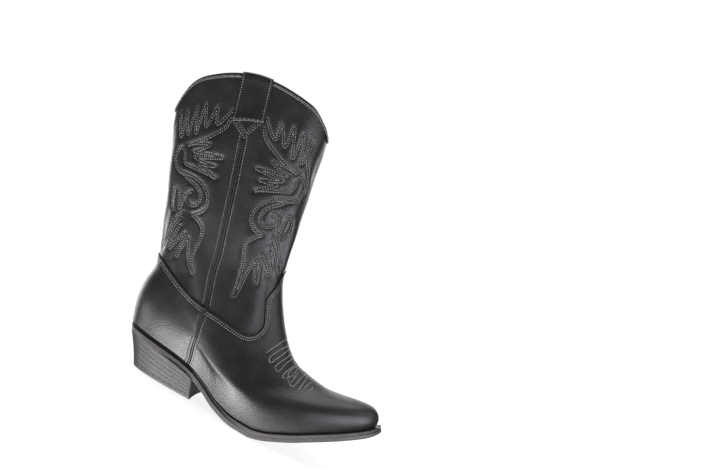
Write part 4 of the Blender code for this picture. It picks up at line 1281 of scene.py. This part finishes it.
def build_bottom():
    build_outsole()
    around = around_sole()
    welt_end, rand_end = WAIST_ENDS
    front = around[(around > welt_end + POINT_GAP) & (around < 360 - welt_end - POINT_GAP)]
    front = np.concatenate([[welt_end], front, [360 - welt_end]])
    build_strip("welt_leather", front, "welt", WELT_EDGE_WITH_PAINTED_SHADE)
    left = around[around > 360 - welt_end + POINT_GAP] - 360
    right = around[around < welt_end - POINT_GAP]
    back = np.concatenate([[-rand_end], left, right, [rand_end]])
    build_strip("heel_rand_leather", back, "heel_rand", RAND)
    build_sock()
    build_heel()


# ---- stage, lights and camera


FLOOR_HALF_SIZE = 8.0
FLOOR_Z = -0.0004
LENS = 42.67
CAMERA_SPOT = (0.0521, -0.9002, 0.2332)
CAMERA_ROLL = 28.4             # degrees; the camera looks level along +Y

# (name, way from the boot's middle in metres, size, power, colour)
SOFTBOXES = [
    ("low_box", (-0.12, -0.58, -0.98), (1.05, 0.7), 28.0, (1.0, 1.0, 1.0)),
    ("low_fill", (0.10, -0.75, -0.75), (1.3, 0.9), 10.0, (1.0, 1.0, 1.0)),
    ("left_box", (-0.90, -0.35, -0.70), (0.5, 0.4), 3.2, (1.0, 1.0, 1.0)),
    ("rim_box", (-0.85, 0.62, -0.05), (0.5, 1.0), 6.0, (1.0, 1.0, 1.0)),
    ("back_box", (0.30, 1.00, 0.35), (0.9, 0.8), 4.0, (1.0, 1.0, 1.0)),
    ("toe_box", (0.85, -0.55, 0.06), (0.7, 0.3), 4.5, (0.90, 0.94, 1.0)),
    ("right_box", (1.0, -0.35, 0.75), (0.8, 0.9), 2.5, (1.0, 1.0, 1.0))]


def add_to_scene(name, data):
    item = bpy.data.objects.new(name, data)
    bpy.context.scene.collection.objects.link(item)
    return item


def pale_floor():
    """Plain pale floor that the leather doesn't mirror and that lets the low lights through."""
    mesh = bpy.data.meshes.new("floor")
    corners = ((-1, -1), (1, -1), (1, 1), (-1, 1))
    mesh.from_pydata([(x * FLOOR_HALF_SIZE, y * FLOOR_HALF_SIZE, FLOOR_Z) for x, y in corners],
                     [], [(0, 1, 2, 3)])
    s = Shader("pale_floor")
    colour = s.mix(s.noise(3.0), (0.27, 0.27, 0.27), (0.29, 0.29, 0.29))
    roughness = s.scaled(s.noise(40.0), 0.0, 1.0, 0.8, 0.95)
    mesh.materials.append(s.finish(colour, roughness, Emission_Color=(1, 1, 1, 1),
                                   Emission_Strength=0.82))
    floor = add_to_scene("floor", mesh)
    floor.visible_glossy = False
    floor.visible_shadow = False
    floor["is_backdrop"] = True


def aim(item, away):
    """Turns a light to shine against the way given."""
    item.rotation_mode = "QUATERNION"
    item.rotation_quaternion = away.to_track_quat("Z", "Y")


def softbox(name, way, size, power, colour):
    data = bpy.data.lights.new(name, "AREA")
    data.shape = "RECTANGLE"
    data.size, data.size_y = size
    data.energy = power
    data.color = colour
    light = add_to_scene(name, data)
    low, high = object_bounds()
    light.location = (low + high) / 2 + Vector(way)
    aim(light, Vector(way))
    light.visible_camera = False


def sun(name, way, strength, angle):
    data = bpy.data.lights.new(name, "SUN")
    data.energy = strength
    data.angle = math.radians(angle)
    light = add_to_scene(name, data)
    light.location = way
    aim(light, Vector(way))


def sky():
    """White to the camera, softer to the leather."""
    world = bpy.data.worlds.new("studio")
    bpy.context.scene.world = world
    world.use_nodes = True
    nodes = world.node_tree.nodes
    links = world.node_tree.links
    seen = nodes["Background"]
    seen.inputs["Color"].default_value = (1, 1, 1, 1)
    seen.inputs["Strength"].default_value = 1.0
    soft = nodes.new("ShaderNodeBackground")
    soft.inputs["Color"].default_value = (0.93, 0.96, 1.0, 1)
    soft.inputs["Strength"].default_value = 0.16
    path = nodes.new("ShaderNodeLightPath")
    mix = nodes.new("ShaderNodeMixShader")
    links.new(path.outputs["Is Camera Ray"], mix.inputs[0])
    links.new(soft.outputs[0], mix.inputs[1])
    links.new(seen.outputs[0], mix.inputs[2])
    links.new(mix.outputs[0], nodes["World Output"].inputs["Surface"])


def add_camera():
    data = bpy.data.cameras.new("camera")
    data.lens = LENS
    data.clip_end = 30.0
    camera = add_to_scene("camera", data)
    x, y, z = CAMERA_SPOT
    c = math.cos(math.radians(CAMERA_ROLL))
    s = math.sin(math.radians(CAMERA_ROLL))
    camera.matrix_world = Matrix(((c, -s, 0, x), (0, 0, -1, y), (s, c, 0, z), (0, 0, 0, 1)))
    bpy.context.scene.camera = camera


build_upper()
build_trim()
build_bottom()
finish_hidden_nodes()
pale_floor()
sky()
sun("overhead", (-0.25, 0.10, 1.0), 1.8, 60.0)
for box in SOFTBOXES:
    softbox(*box)
add_camera()
bpy.context.scene.view_settings.view_transform = "Standard"
